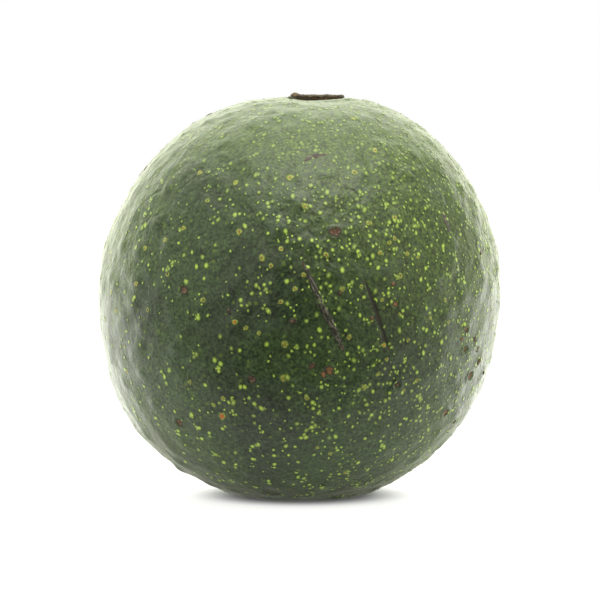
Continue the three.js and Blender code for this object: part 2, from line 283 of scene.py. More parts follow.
# Scabs: pixel in the photograph, radius in millimetres, and 0 for purple to 1 for red.
SCAB_PIXELS = [
    (335, 232, 1.5, 0.25), (184, 290, 1.3, 0.1), (293, 321, 0.9, 0.0), (312, 366, 0.9, 0.2),
    (329, 370, 1.25, 1.0), (323, 374, 0.8, 1.0), (252, 379, 1.1, 0.1), (180, 422, 1.1, 0.3),
    (397, 385, 0.7, 0.2),
    (466, 329, 0.9, 0.7), (462, 339, 0.6, 0.9), (474, 339, 0.6, 0.3), (477, 349, 0.9, 0.6),
    (465, 349, 0.6, 0.8), (478, 361, 0.9, 0.5), (470, 376, 1.0, 0.7), (482, 372, 0.6, 0.3),
    (445, 412, 1.0, 0.9), (454, 421, 0.7, 0.1), (480, 253, 0.6, 0.1), (395, 304, 0.8, 0.9),
    (393, 284, 0.7, 0.8), (229, 311, 0.7, 0.0), (340, 293, 0.6, 0.2), (372, 318, 0.5, 0.5),
]


# Form of the rind

BUMP_CUT = 8  # half the square of the widths past which a bump adds nothing
LIP = {"away": 1.0, "width": 1.3, "front": (0.0, 0.1), "right": (-1.0, 9.0)}  # where the crown's lip rises
DIMPLE_DETAIL = {"finer": 2.3, "fainter": 0.5}  # the second, smaller layer of dimples
COLLAR = {"inside": 0.2, "width": 0.6}  # dark band round the socket, in millimetres

def seeded_draws(seed):
    """A repeatable row of draws between 0 and 1, the same as the solid's"""
    state = seed

    def draw():
        nonlocal state
        state = (state + 0x6D2B79F5) & 0xFFFFFFFF
        mixed = ((state ^ (state >> 15)) * (1 | state)) & 0xFFFFFFFF
        turned = ((mixed ^ (mixed >> 7)) * (61 | mixed)) & 0xFFFFFFFF
        mixed = ((mixed + turned) & 0xFFFFFFFF) ^ mixed
        return ((mixed ^ (mixed >> 14)) & 0xFFFFFFFF) / 4294967296

    return draw


def between(low, high, share):
    return low + (high - low) * share


def smooth_step(value, low, high):
    share = np.clip((value - low) / (high - low), 0, 1)
    return share * share * (3 - 2 * share)


def unit(vectors):
    return vectors / np.linalg.norm(vectors, axis=-1, keepdims=True)


def on_ring(turn, height):
    ring = math.sqrt(1 - height * height)
    return (ring * math.cos(turn), ring * math.sin(turn), height)


def scatter_bumps(seed, count, rises, widths, stray, radius):
    """Bumps along a golden spiral, each strayed by a draw: rows of place, rise and width"""
    draw = seeded_draws(seed)
    rows = []
    for i in range(count):
        place = np.array(on_ring(i * GOLDEN_ANGLE, 1 - (2 * i + 1) / count))
        shift = np.array([draw() - 0.5, draw() - 0.5, draw() - 0.5])
        place = unit(place + shift * 2 * stray / radius)
        rows.append((*place, between(*rises, draw()), between(*widths, draw())))
    return np.array(rows)


class Rind:
    """The rind's form in millimetres from the fruit's centre, for arrays of unit directions"""

    def __init__(self, settings):
        self.body = {key: getattr(settings.body, key) / MM for key in AvocadoBody.__annotations__}
        self.stem = {key: getattr(settings.stem, key) / MM for key in AvocadoStem.__annotations__}
        self.radius = self.body["radius"]
        self.eye_distance = settings.stage.distance / MM
        self.tilt = settings.stage.tilt
        self.pixel = settings.stage.frame_width / MM / PICTURE_SIDE
        self.bumps = self.make_bumps(settings.relief)
        self.scars = [
            {"points": np.array([self.seen_at(*place) for place in mark["route"]]), **mark}
            for mark in (SCAR, CREASE)
        ]
        self.wounds = [(self.seen_at(across, up), radius) for across, up, radius in WOUNDS]
        self.wounds += self.back_wounds()
        self.dimple_depth = settings.relief.dimple_depth / MM
        self.dimple_width = settings.relief.dimple_width / MM

    def make_bumps(self, relief):
        pebbles = scatter_bumps(
            relief.pebble_seed,
            relief.pebble_count,
            (relief.pebble_lowest / MM, relief.pebble_highest / MM),
            (relief.pebble_narrowest / MM, relief.pebble_widest / MM),
            relief.pebble_stray / MM,
            self.radius,
        )
        swells = scatter_bumps(
            relief.swell_seed,
            relief.swell_count,
            (-relief.swell_rise / MM, relief.swell_rise / MM),
            (relief.swell_narrowest / MM, relief.swell_widest / MM),
            relief.swell_stray / MM,
            self.radius,
        )
        swells[:, 3] *= smooth_step(np.abs(swells[:, 1]), 0.1, relief.outline_band)
        outline = [
            (math.sin(math.radians(turn)), 0, math.cos(math.radians(turn)), rise, relief.outline_width / MM)
            for turn, rise in OUTLINE_SWELLS
        ]
        return np.vstack([pebbles, swells, outline])

    def back_wounds(self):
        draw = seeded_draws(BACK_WOUNDS["seed"])
        wounds = []
        for _ in range(BACK_WOUNDS["count"]):
            turn = math.pi * between(0.15, 0.85, draw())
            place = np.array(on_ring(turn, between(-0.7, 0.75, draw())))
            wounds.append((place, between(BACK_WOUNDS["smallest"], BACK_WOUNDS["largest"], draw())))
        return wounds

    def smooth_radius(self, dirs):
        b, s = self.body, self.stem
        x, y, c = dirs[..., 0], dirs[..., 1], dirs[..., 2]
        radius = (
            b["radius"]
            + b["stem_end"] * c
            + b["tallness"] * (3 * c**2 - 1) / 2
            + b["shoulder"] * (5 * c**3 - 3 * c) / 2
            + b["fullness"] * (35 * c**4 - 30 * c**2 + 3) / 8
            + x * (b["lean_waist"] + b["lean_shoulder"] * 2 * c + b["lean_crown"] * (4 * c**2 - 1))
        )
        across = (x * radius - s["offset"]) / s["dip_across"]
        along = y * radius / s["dip_along"]
        return radius - np.where(c > 0, s["dip_depth"] * np.exp(-(across**2) - along**2), 0)

    def pebbles(self, dirs):
        rise = np.zeros(len(dirs))
        for *place, height, width in self.bumps:
            near = np.flatnonzero(dirs @ np.array(place) > 1 - BUMP_CUT * (width / self.radius) ** 2)
            away = np.linalg.norm(dirs[near] - place, axis=1) * self.radius / width
            rise[near] += height * np.exp(-(away**2) / 2)
        return rise

    def dimples(self, dirs):
        """Small dimples that the solid leaves out, from smooth noise"""
        finer, fainter = DIMPLE_DETAIL["finer"], DIMPLE_DETAIL["fainter"]
        return self.dimple_depth * np.array([
            noise.noise(Vector(place)) + fainter * noise.noise(Vector(place) * finer)
            for place in dirs * (self.radius / self.dimple_width)
        ])

    def near_scar(self, dirs, scar):
        """Distance to a scar's route in millimetres, and how far along it that is"""
        points = scar["points"]
        best = np.full(len(dirs), np.inf)
        along = np.zeros(len(dirs))
        for i, (start, end) in enumerate(zip(points[:-1], points[1:])):
            edge = end - start
            t = np.clip((dirs - start) @ edge / (edge @ edge), 0, 1)
            away = np.linalg.norm(unit(start + t[:, None] * edge) - dirs, axis=1) * self.radius
            closer = away < best
            best = np.where(closer, away, best)
            along = np.where(closer, (i + t) / (len(points) - 1), along)
        return best, along

    def marks(self, dirs):
        rise = np.zeros(len(dirs))
        for scar in self.scars:
            away, along = self.near_scar(dirs, scar)
            taper = np.sqrt(np.sin(math.pi * np.clip(along, 0.02, 0.98)))
            shape = np.clip(1 - (away / scar["width"]) ** 2, 0, 1) ** 2
            rise += scar["rise"] * taper * shape
        for place, radius in self.wounds:
            away = np.linalg.norm(dirs - place, axis=1) * self.radius / radius
            rise -= WOUND["depth"] * radius * np.clip(1 - away**2, 0, 1) ** 2
            rim = np.exp(-(((away - WOUND["rim_at"]) / WOUND["rim_width"]) ** 2))
            rise += np.where(away < WOUND["reach"], WOUND["rim"] * radius * rim, 0)
        return rise

    def away_from_stem(self, dirs, radius):
        away = np.hypot(dirs[:, 0] * radius - self.stem["offset"], dirs[:, 1] * radius)
        return np.where(dirs[:, 2] > 0, away, np.inf)

    def skin_radius(self, dirs):
        """Distance of the rind from the centre, with all its relief"""
        s = self.stem
        smooth = self.smooth_radius(dirs)
        away = self.away_from_stem(dirs, smooth)
        calm = smooth_step(away, s["socket_radius"], s["socket_radius"] + s["calm_band"])
        lip = s["lip"] * np.exp(-(((away - s["socket_radius"] - LIP["away"]) / LIP["width"]) ** 2))
        lip *= smooth_step(-dirs[:, 1], *LIP["front"])
        lip *= smooth_step(dirs[:, 0] * smooth, *LIP["right"])
        radius = smooth + lip + calm * (self.pebbles(dirs) + self.dimples(dirs)) + self.marks(dirs)
        half = s["wall_width"] / 2
        opened = 1 - smooth_step(away, s["socket_radius"] - half, s["socket_radius"] + half)
        up = np.maximum(dirs[:, 2], 1e-6)
        radius = np.where(dirs[:, 2] > 0, between(radius, s["socket_floor"] / up, opened), radius)
        down = np.maximum(-dirs[:, 2], 1e-6)
        spot = self.body["centre_height"] / down
        rounding = self.body["spot_rounding"]
        turn_in = np.maximum(rounding - np.abs(radius - spot), 0)
        rested = np.minimum(radius, spot) - turn_in**2 / (4 * rounding)
        return np.where(dirs[:, 2] < 0, rested, radius)

    def skin_points(self, dirs, lift=0.0):
        """Places on the rind in metres, lifted along their directions by millimetres"""
        radius = self.skin_radius(dirs) + lift
        points = dirs * radius[:, None]
        points[:, 2] += self.body["centre_height"]
        return points * MM

    def seen_at(self, across, up):
        """Direction of the rind that shows at a place of the front view, in millimetres"""
        tilt = self.tilt
        eye = np.array([0, -math.cos(tilt), math.sin(tilt)]) * self.eye_distance
        ray = unit(np.array([across, up * math.sin(tilt), up * math.cos(tilt)]) - eye)
        radius = self.radius
        for _ in range(5):
            nearest = -eye @ ray
            half = math.sqrt(max(0, radius**2 - eye @ eye + nearest**2))
            direction = unit(eye + ray * (nearest - half))
            radius = float(self.smooth_radius(direction))
        return direction

    def seen_at_pixel(self, column, row):
        middle = PICTURE_SIDE / 2
        return self.seen_at((column - middle) * self.pixel, (middle - row) * self.pixel)


# Meshes

CRISP_ANGLE = math.radians(55)  # edges that bend more are shaded sharp where a piece asks for it
CUBE_STEPS = 112  # squares along each side of the cube that the rind's net starts from
FINE_EDGE = 0.42  # longest edge near scars, wounds and the socket, in millimetres
FINE_REACH = {"socket": 0.7, "scar": 1.3, "wound": 1.7}  # millimetres, share of width, share of radius
CUBE_SIDES = [
    ((1, 0, 0), (0, 1, 0), (0, 0, 1)),
    ((-1, 0, 0), (0, -1, 0), (0, 0, 1)),
    ((0, 1, 0), (-1, 0, 0), (0, 0, 1)),
    ((0, -1, 0), (1, 0, 0), (0, 0, 1)),
    ((0, 0, 1), (0, 1, 0), (-1, 0, 0)),
    ((0, 0, -1), (0, 1, 0), (1, 0, 0)),
]  # outward, right and up of each side


def cube_net(steps):
    """An even net of triangles over the unit ball, from the six sides of a cube"""
    spread = np.tan(np.linspace(-1, 1, steps + 1) * math.pi / 4)
    right, up = np.meshgrid(spread, spread)
    points, triangles = [], []
    corner = np.arange((steps + 1) ** 2).reshape(steps + 1, steps + 1)
    a, b, c, d = corner[:-1, :-1], corner[:-1, 1:], corner[1:, 1:], corner[1:, :-1]
    for side, axes in enumerate(CUBE_SIDES):
        out, across, upward = (np.array(axis, float) for axis in axes)
        points.append(unit(out + right.reshape(-1, 1) * across + up.reshape(-1, 1) * upward))
        shift = side * corner.size
        for trio in ((a, b, c), (a, c, d)):
            triangles.append(np.stack([part.ravel() + shift for part in trio], 1))
    points, triangles = np.vstack(points), np.vstack(triangles)
    keys = np.round(points * 1e7).astype(np.int64)
    _, first, place = np.unique(keys, axis=0, return_index=True, return_inverse=True)
    return points[first], place.ravel()[triangles]


def refine(points, triangles, needs_finer, longest):
    """Halves each long edge near a fine feature, in both triangles that share it"""
    pairs = np.vstack([triangles[:, [0, 1]], triangles[:, [1, 2]], triangles[:, [2, 0]]])
    edges, place = np.unique(np.sort(pairs, axis=1), axis=0, return_inverse=True)
    middles = unit(points[edges].sum(1))
    lengths = np.linalg.norm(points[edges[:, 0]] - points[edges[:, 1]], axis=1)
    split = (lengths > longest) & needs_finer(middles)
    number_of = np.full(len(edges), -1)
    number_of[split] = len(points) + np.arange(split.sum())
    points = np.vstack([points, middles[split]])
    ab, bc, ca = number_of[place.ravel()].reshape(3, -1)
    a, b, c = triangles.T
    finer = []
    for turn in range(3):
        one = (ab >= 0) & (bc < 0) & (ca < 0)
        two = (ab >= 0) & (bc >= 0) & (ca < 0)
        finer += [np.stack(t, 1)[one] for t in ((a, ab, c), (ab, b, c))]
        finer += [np.stack(t, 1)[two] for t in ((ab, b, bc), (a, ab, bc), (a, bc, c))]
        a, b, c, ab, bc, ca = b, c, a, bc, ca, ab
    every = (ab >= 0) & (bc >= 0) & (ca >= 0)
    finer += [np.stack(t, 1)[every] for t in ((a, ab, ca), (ab, b, bc), (ca, bc, c), (ab, bc, ca))]
    none = (ab < 0) & (bc < 0) & (ca < 0)
    return points, np.vstack([triangles[none], *finer])


def corner_points(mesh):
    """The number of the point at each corner of a mesh's faces"""
    corners = np.empty(len(mesh.loops), np.int32)
    mesh.loops.foreach_get("vertex_index", corners)
    return corners


def mesh_object(name, points, faces, attributes=None, bake_uv=None, crisp=False):
    """A smooth mesh object at the origin, with point attributes and its own map for the export"""
    mesh = bpy.data.meshes.new(name)
    mesh.from_pydata(np.asarray(points).tolist(), [], [list(map(int, face)) for face in faces])
    mesh.update()
    for key, values in (attributes or {}).items():
        mesh.attributes.new(key, "FLOAT", "POINT").data.foreach_set("value", np.asarray(values, np.float32))
    if bake_uv is not None:
        uv = bake_uv if len(bake_uv) == len(mesh.loops) else bake_uv[corner_points(mesh)]
        mesh.uv_layers.new(name="OFBake").uv.foreach_set("vector", uv.astype(np.float32).ravel())
    mesh.polygons.foreach_set("use_smooth", np.ones(len(mesh.polygons), bool))
    if crisp:
        mesh.set_sharp_from_angle(angle=CRISP_ANGLE)
    made = bpy.data.objects.new(name, mesh)
    bpy.context.scene.collection.objects.link(made)
    return made


def finish_piece(piece, slot, material, *nodes):
    """Dresses a piece, fixes it to the fruit's body and hides the parts of the solid that it stands for"""
    piece.data.materials.clear()
    piece.data.materials.append(material)
    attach(piece, "root")
    if nodes:
        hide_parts(*nodes)


def cube_map(points, triangles):
    """Each corner's place on a map of the cube's six sides, three across and two up"""
    outs = np.array([side[0] for side in CUBE_SIDES], float)
    side = np.argmax(points[triangles].mean(1) @ outs.T, axis=1)
    axes = np.array(CUBE_SIDES, float)[side]
    corners = points[triangles]
    out, across, up = (np.einsum("tcx,tx->tc", corners, axes[:, k]) for k in range(3))
    margin = 0.985
    place = np.stack([np.arctan2(across, out), np.arctan2(up, out)], -1) * 4 / math.pi * margin
    column, row = (side % 3)[:, None], (side // 3)[:, None]
    u = (column + (place[..., 0] + 1) / 2) / 3
    v = (row + (place[..., 1] + 1) / 2) / 2
    return np.stack([u, v], -1).reshape(-1, 2)


def tangents(normal):
    """Two directions square to a normal and to each other"""
    helper = np.array([0, 0, 1.0]) if abs(normal[2]) < 0.9 else np.array([1.0, 0, 0])
    first = unit(np.cross(helper, normal))
    return first, np.cross(normal, first)


DISC_SIDES = 14
DISC_RINGS = [(0.28, 0.95), (0.52, 0.8), (0.76, 0.5), (1.0, -0.06)]  # share of radius, share of rise
DISC_UNDERSIDE = 0.8  # its share of the radius
DISC_SINK = 0.3  # depth of a disc's underside in the rind, in millimetres
DISC_WAVES = (2, 3, 5)  # waves round the edge that make it uneven
DISC_UNEVEN = 0.5
RINGED_RISE = 0.06
SCAB_RISE = 0.2


def lay_discs(rind, discs):
    """Low closed discs that hug the rind. A disc is (direction, radius, rise, tone, seed)."""
    dirs, lifts, radial, tones, faces = [], [], [], [], []
    for direction, radius, rise, tone, seed in discs:
        draw = seeded_draws(seed)
        first, second = tangents(direction)
        waves = [(k, DISC_UNEVEN * (draw() - 0.1) / k, 2 * math.pi * draw()) for k in DISC_WAVES]
        start = len(dirs)
        rings = [*DISC_RINGS, (DISC_UNDERSIDE, None)]
        dirs.append(direction)
        lifts.append(rise)
        radial.append(0)
        for share, height in rings:
            for i in range(DISC_SIDES):
                turn = 2 * math.pi * i / DISC_SIDES
                reach = radius * share * (1 + sum(w * math.cos(k * turn + p) for k, w, p in waves))
                step = (first * math.cos(turn) + second * math.sin(turn)) * reach / rind.radius
                dirs.append(unit(direction + step))
                lifts.append(-DISC_SINK if height is None else rise * height)
                radial.append(1 if height is None else share)
        dirs.append(direction)
        lifts.append(-DISC_SINK)
        radial.append(1)
        tones += [tone] * (len(dirs) - start)
        ring_start = [start + 1 + DISC_SIDES * k for k in range(len(rings))]
        for i in range(DISC_SIDES):
            j = (i + 1) % DISC_SIDES
            faces.append((start, ring_start[0] + i, ring_start[0] + j))
            for inner, outer in zip(ring_start[:-1], ring_start[1:]):
                faces.append((inner + i, outer + i, outer + j, inner + j))
            faces.append((len(dirs) - 1, ring_start[-1] + j, ring_start[-1] + i))
    points = rind.skin_points(np.array(dirs), np.array(lifts))
    return points, faces, np.array(radial), np.array(tones)


def curve_through(points, step):
    """A smooth curve on the unit ball through its points, stepped evenly"""
    ends = np.vstack([2 * points[0] - points[1], points, 2 * points[-1] - points[-2]])
    path = []
    for p, q, r, s in zip(ends, ends[1:], ends[2:], ends[3:]):
        steps = max(2, int(np.linalg.norm(r - q) / step))
        for t in np.arange(steps) / steps:
            path.append(0.5 * (2 * q + (r - p) * t + (2 * p - 5 * q + 4 * r - s) * t**2
                               + (3 * q - p - 3 * r + s) * t**3))
    path.append(points[-1])
    return unit(np.array(path))


STRIP_SECTION = [
    (-1.0, -0.12), (-0.8, 0.35), (-0.5, 0.8), (-0.18, 1.0), (0.18, 1.0), (0.5, 0.8), (0.8, 0.35),
    (1.0, -0.12), (0.5, None), (-0.5, None),
]  # share of half the width, share of the rise; None lies under the rind
STRIP_STEP = 0.22  # length of a strip's faces in millimetres


def swelling(t, middle, tip):
    """A value that grows from the tips of a strip to its middle, at a share t of the way along it"""
    return tip + (middle - tip) * math.sin(math.pi * min(max(t, 0), 1)) ** 0.6


def lay_strip(rind, strip):
    """A closed strip of scar tissue along its route on the rind"""
    route = np.array([rind.seen_at(*place) for place in strip["route"]])
    path = curve_through(route, STRIP_STEP / rind.radius)
    ragged, seed = strip["ragged"], strip["seed"]
    draw = seeded_draws(seed)
    side = len(STRIP_SECTION)
    dirs, lifts, across, along = [], [], [], []
    shift = Vector((seed * 3.1, seed * 1.7, 0))
    for i, place in enumerate(path):
        t = i / (len(path) - 1)
        ahead = path[min(i + 1, len(path) - 1)] - path[max(i - 1, 0)]
        sideways = unit(np.cross(place, ahead))
        half_width = swelling(t, strip["middle"] + strip["gain"] * t, strip["tip"])
        rise = swelling(t, strip["rise"], strip["tip_rise"])
        for share, height in STRIP_SECTION:
            rough = 1 + ragged * noise.noise(Vector((i * 0.21, share * 1.3, 0)) + shift)
            reach = share * half_width * rough
            dirs.append(unit(place + sideways * reach / rind.radius))
            bumpy = 1 + ragged * 1.4 * noise.noise(Vector((i * 0.33, share * 2.1, 4)) + shift)
            bumpy += 0.1 * draw()
            lifts.append(-DISC_SINK if height is None else rise * height * bumpy)
            across.append(1 if height is None else abs(share))
            along.append(t)
    faces = []
    for i in range(len(path) - 1):
        for k in range(side):
            n = (k + 1) % side
            faces.append((i * side + k, i * side + n, (i + 1) * side + n, (i + 1) * side + k))
    faces.append(tuple(reversed(range(side))))
    faces.append(tuple((len(path) - 1) * side + k for k in range(side)))
    points = rind.skin_points(np.array(dirs), np.array(lifts))
    return points, faces, np.array(across), np.array(along)


# Node helpers


def plug(tree, socket, value):
    if isinstance(value, Node):
        value = value.outputs[0]
    if isinstance(value, NodeSocket):
        tree.links.new(value, socket)
    else:
        socket.default_value = value


def add(tree, kind, inputs=None, **settings):
    made = tree.nodes.new(kind)
    for key, value in settings.items():
        setattr(made, key, value)
    for key, value in (inputs or {}).items():
        plug(tree, made.inputs[key], value)
    return made


def mix(tree, share, first, second, blend="MIX"):
    made = add(tree, "ShaderNodeMix", data_type="RGBA", blend_type=blend)
    for index, value in ((0, share), (6, first), (7, second)):
        plug(tree, made.inputs[index], value)
    return made.outputs[2]


def maths(tree, operation, *values):
    made = add(tree, "ShaderNodeMath", operation=operation)
    for socket, value in zip(made.inputs, values):
        plug(tree, socket, value)
    return made.outputs[0]


def fade(tree, value, low, high, start=0.0, end=1.0):
    """A smooth change from start to end as the value goes from low to high"""
    inputs = {"Value": value, "From Min": low, "From Max": high, "To Min": start, "To Max": end}
    return add(tree, "ShaderNodeMapRange", inputs, interpolation_type="SMOOTHSTEP").outputs["Result"]


def noise_of(tree, place, scale, detail=2.0, distortion=0.0):
    inputs = {"Vector": place, "Scale": scale, "Detail": detail, "Distortion": distortion}
    return add(tree, "ShaderNodeTexNoise", inputs).outputs["Fac"]


def fold(tree, operation, values):
    result, *others = values
    for value in others:
        result = maths(tree, operation, result, value)
    return result


def times(tree, *values):
    return fold(tree, "MULTIPLY", values)


def plus(tree, *values):
    return fold(tree, "ADD", values)


def most(tree, *values):
    return fold(tree, "MAXIMUM", values)


def axes_of(tree, place):
    return add(tree, "ShaderNodeSeparateXYZ", {"Vector": place}).outputs


def from_axes(tree, **axes):
    return add(tree, "ShaderNodeCombineXYZ", axes)


def attribute(tree, name):
    return add(tree, "ShaderNodeAttribute", attribute_name=name).outputs["Fac"]


class Pattern(NamedTuple):
    """A noise: its repeats per metre, detail and distortion, and the values that it fades between"""

    scale: float
    detail: float
    distortion: float
    low: float
    high: float

    def lay(self, tree, place, start=0.0, end=1.0, scale=None):
        value = noise_of(tree, place, self.scale if scale is None else scale, self.detail, self.distortion)
        return fade(tree, value, self.low, self.high, start, end)


def name_sockets(tree, way, kinds):
    """Gives a node group its named sockets. A kind is the last part of a socket type's name."""
    for label, kind in kinds.items():
        tree.interface.new_socket(name=label, in_out=way, socket_type="NodeSocket" + kind)


def shader_group(name, inputs, outputs, build):
    """A shader node group with named sockets, made once"""
    if name in bpy.data.node_groups:
        return bpy.data.node_groups[name]
    tree = bpy.data.node_groups.new(name, "ShaderNodeTree")
    name_sockets(tree, "INPUT", inputs)
    name_sockets(tree, "OUTPUT", outputs)
    into = tree.nodes.new("NodeGroupInput").outputs
    out = tree.nodes.new("NodeGroupOutput")
    for label, value in build(tree, into).items():
        plug(tree, out.inputs[label], value)
    return tree


def use_group(tree, group, inputs):
    return add(tree, "ShaderNodeGroup", inputs, node_tree=group)


PATCHES = Pattern(42.0, 3.0, 0.4, 0.36, 0.66)
MOTTLE = Pattern(170.0, 4.0, 0.8, 0.35, 0.75)
SPECKLE = Pattern(825.0, 2.0, 0.0, 0.35, 0.7)
SMEARS = Pattern(75.0, 4.0, 2.2, 0.5, 0.72)
SIDE_STREAKS = Pattern(34.0, 3.0, 0.6, 0.42, 0.68)
STEM_STREAKS = Pattern(16.0, 3.0, 0.0, 0.5, 0.72)
RING_GAPS = Pattern(2600.0, 2.0, 0.0, 0.42, 0.6)
WOOD_FIBRES = Pattern(2600.0, 4.0, 0.0, 0.5, 0.75)
GRAIN_SCALE = 1500.0  # in repeats per metre, as all scales
SPECKLE_SHARE = SPECKLE.scale / GRAIN_SCALE
WAX_FILM = 0.22  # how much of the pebbles' pale film shows
FLECKS = {"Scale": 620.0, "Size": 0.4, "Share": 0.6}
FLECK_RAGGEDNESS = 0.0004  # in metres
FIBRE_STRETCH = 0.16  # scale of the scars' grain along their fibres
WOOD_STRETCH = 0.25

# Heights in metres between which the look of the rind, or of its lenticels, changes
FOOT = (0.004, 0.02)
LOWER_HALF = (0.02, 0.06)
LUMPY_HALF = (0.04, 0.06)
SUNNY_AND_LIT = (0.045, 0.086)  # reached lower down towards +X; lighter rind here is partly painted light from above and the right
GREYED_LENTICELS = (0.055, 0.088)
COVERED_LENTICELS = (0.06, 0.09)
STREAKED_SHOULDER = (0.078, 0.092)
# Towards the crown the rind is painted grey as a reflection of the light above
CROWN_SHEEN = (0.084, 0.093)
SUN_LEAN = 0.8
BACKWARDS = (-0.036, -0.014)  # along Y, from the front to the sides; lighter rind past it is painted light, and the darker front is painted shade

# Depths in metres of the finest relief, which only the materials hold
RIND_GRAIN = 0.06 * MM
LENTICEL_GRAIN = 0.03 * MM
CORK_GRAIN = 0.12 * MM
WOOD_GRAIN = 0.15 * MM


def rind_tone_group():
    """Green of the rind with its patches, mottle and grain, and its roughness"""

    def build(tree, into):
        place, fine = into["Vector"], into["Grain Scale"]
        patches = PATCHES.lay(tree, place, scale=into["Patch Scale"])
        mottle = MOTTLE.lay(tree, place, scale=into["Mottle Scale"])
        grain = noise_of(tree, place, fine, 3.0)
        speckle = SPECKLE.lay(tree, place, scale=times(tree, fine, SPECKLE_SHARE))
        green = mix(tree, patches, into["Deep"], into["Fresh"])
        green = mix(tree, times(tree, mottle, 0.35), green, into["Fresh"])
        green = mix(tree, times(tree, mottle, into["Film"], patches), green, into["Pale"])
        green = mix(tree, 0.85, green, fade(tree, grain, 0.3, 0.7, 0.1, 0.88), "OVERLAY")
        green = mix(tree, 0.4, green, fade(tree, speckle, 0.0, 1.0, 0.25, 0.8), "OVERLAY")
        rough = fade(tree, mottle, 0.0, 1.0, 0.31, 0.4)
        return {"Color": green, "Roughness": plus(tree, rough, times(tree, grain, 0.08))}

    inputs = {
        "Vector": "Vector", "Deep": "Color", "Fresh": "Color", "Pale": "Color", "Film": "Float",
        "Patch Scale": "Float", "Mottle Scale": "Float", "Grain Scale": "Float",
    }
    return shader_group("Rind Tone", inputs, {"Color": "Color", "Roughness": "Float"}, build)


def flecks_group():
    """Small round flecks of uneven size, scattered by cells"""

    def build(tree, into):
        warp = add(tree, "ShaderNodeTexNoise", {"Vector": into["Vector"], "Scale": 900.0}).outputs["Color"]
        ragged = add(tree, "ShaderNodeVectorMath", {0: warp, "Scale": FLECK_RAGGEDNESS}, operation="SCALE")
        place = add(tree, "ShaderNodeVectorMath", {0: into["Vector"], 1: ragged}, operation="ADD")
        cells = add(tree, "ShaderNodeTexVoronoi", {"Vector": place, "Scale": into["Scale"]}).outputs
        chance = add(tree, "ShaderNodeSeparateColor", {"Color": cells["Color"]}).outputs
        size = plus(tree, times(tree, chance["Red"], into["Size"]), 0.001)
        dot = fade(tree, maths(tree, "DIVIDE", cells["Distance"], size), 0.55, 1.0, 1.0, 0.0)
        kept = maths(tree, "LESS_THAN", chance["Green"], into["Share"])
        return {"Mask": times(tree, dot, kept)}

    inputs = {"Vector": "Vector", "Scale": "Float", "Size": "Float", "Share": "Float"}
    return shader_group("Flecks", inputs, {"Mask": "Float"}, build)


def corky_group():
    """Cracked cork or dry wood: a mottled colour and its height"""

    def build(tree, into):
        place, scale = into["Vector"], into["Scale"]
        coarse = noise_of(tree, place, scale, 5.0, 1.2)
        fine = noise_of(tree, place, times(tree, scale, 4.0), 3.0)
        laid = {"Vector": place, "Scale": scale}
        cells = add(tree, "ShaderNodeTexVoronoi", laid, feature="DISTANCE_TO_EDGE")
        cracks = fade(tree, cells.outputs["Distance"], 0.02, 0.16)
        tone = mix(tree, fade(tree, coarse, 0.38, 0.68), into["Dark"], into["Light"])
        tone = mix(tree, maths(tree, "SUBTRACT", 1.0, cracks), tone, into["Dark"])
        height = plus(tree, times(tree, coarse, 0.6), times(tree, cracks, 0.3), times(tree, fine, 0.3))
        return {"Color": tone, "Height": height}

    inputs = {"Vector": "Vector", "Dark": "Color", "Light": "Color", "Scale": "Float"}
    return shader_group("Corky Grain", inputs, {"Color": "Color", "Height": "Float"}, build)


# Materials

WAX = {  # gloss of the waxy film, and the pale bloom that shows at a slant
    "Specular IOR Level": 0.55,
    "Sheen Weight": 0.55,
    "Sheen Roughness": 0.25,
    "Sheen Tint": (1.0, 1.0, 0.9, 1.0),
}


def new_material(name, roughness, constants=None):
    material = bpy.data.materials.new(name)
    material.use_nodes = True
    tree = material.node_tree
    tree.nodes.clear()
    shader = add(tree, "ShaderNodeBsdfPrincipled", {"Roughness": roughness, **(constants or {})})
    add(tree, "ShaderNodeOutputMaterial", {"Surface": shader})
    place = add(tree, "ShaderNodeTexCoord").outputs["Object"]
    return material, tree, shader, place


def paint(tree, shader, shade, relief, depth):
    """Gives a shader its colour and its finest relief"""
    plug(tree, shader.inputs["Base Color"], shade)
    bump = add(tree, "ShaderNodeBump", {"Height": relief, "Distance": depth, "Strength": 1.0})
    plug(tree, shader.inputs["Normal"], bump)


def rind_tone(tree, place, colours):
    """The rind's green and roughness at a place, which every mark on it fades into. Its green lightens
    towards the top and +X and towards the sides and back: painted light and shade, over the yellower green
    of a sun-faded shoulder.
    """
    axes = axes_of(tree, place)
    # Painted light: lighter towards the top and +X where the light from above and the right falls, and
    # towards the sides and back, with the front left darker as painted shade
    shoulder = fade(tree, plus(tree, axes["Z"], times(tree, axes["X"], SUN_LEAN)), *SUNNY_AND_LIT)
    shoulder = most(tree, shoulder, fade(tree, axes["Y"], *BACKWARDS, 0.0, 0.45))
    return use_group(tree, rind_tone_group(), {
        "Vector": place,
        "Deep": mix(tree, times(tree, shoulder, 0.75), colours.deep, colours.sunny_and_lit_green),
        "Fresh": mix(tree, shoulder, colours.fresh, colours.sunny_and_lit_green),
        "Pale": colours.pale,
        "Film": WAX_FILM,
        "Patch Scale": PATCHES.scale,
        "Mottle Scale": MOTTLE.scale,
        "Grain Scale": GRAIN_SCALE,
    }).outputs


def round_axis(tree, across, along, third):
    """A place for a noise whose streaks run along the third value, side by side round an axis"""
    turn = maths(tree, "ARCTAN2", along, across)
    return from_axes(tree, X=maths(tree, "COSINE", turn), Y=maths(tree, "SINE", turn), Z=third)


def side_streaks(tree, place):
    """Streaks of lighter rind that run up and down the sides and the back. The streaks are the rind's own,
    and their growth from the darker front to the sides is painted light.
    """
    axes = axes_of(tree, place)
    laid = round_axis(tree, axes["X"], axes["Y"], times(tree, axes["Z"], 3.0))
    low = fade(tree, axes["Z"], *FOOT)
    return times(tree, SIDE_STREAKS.lay(tree, laid), low, fade(tree, axes["Y"], *BACKWARDS, 0.04, 0.6))


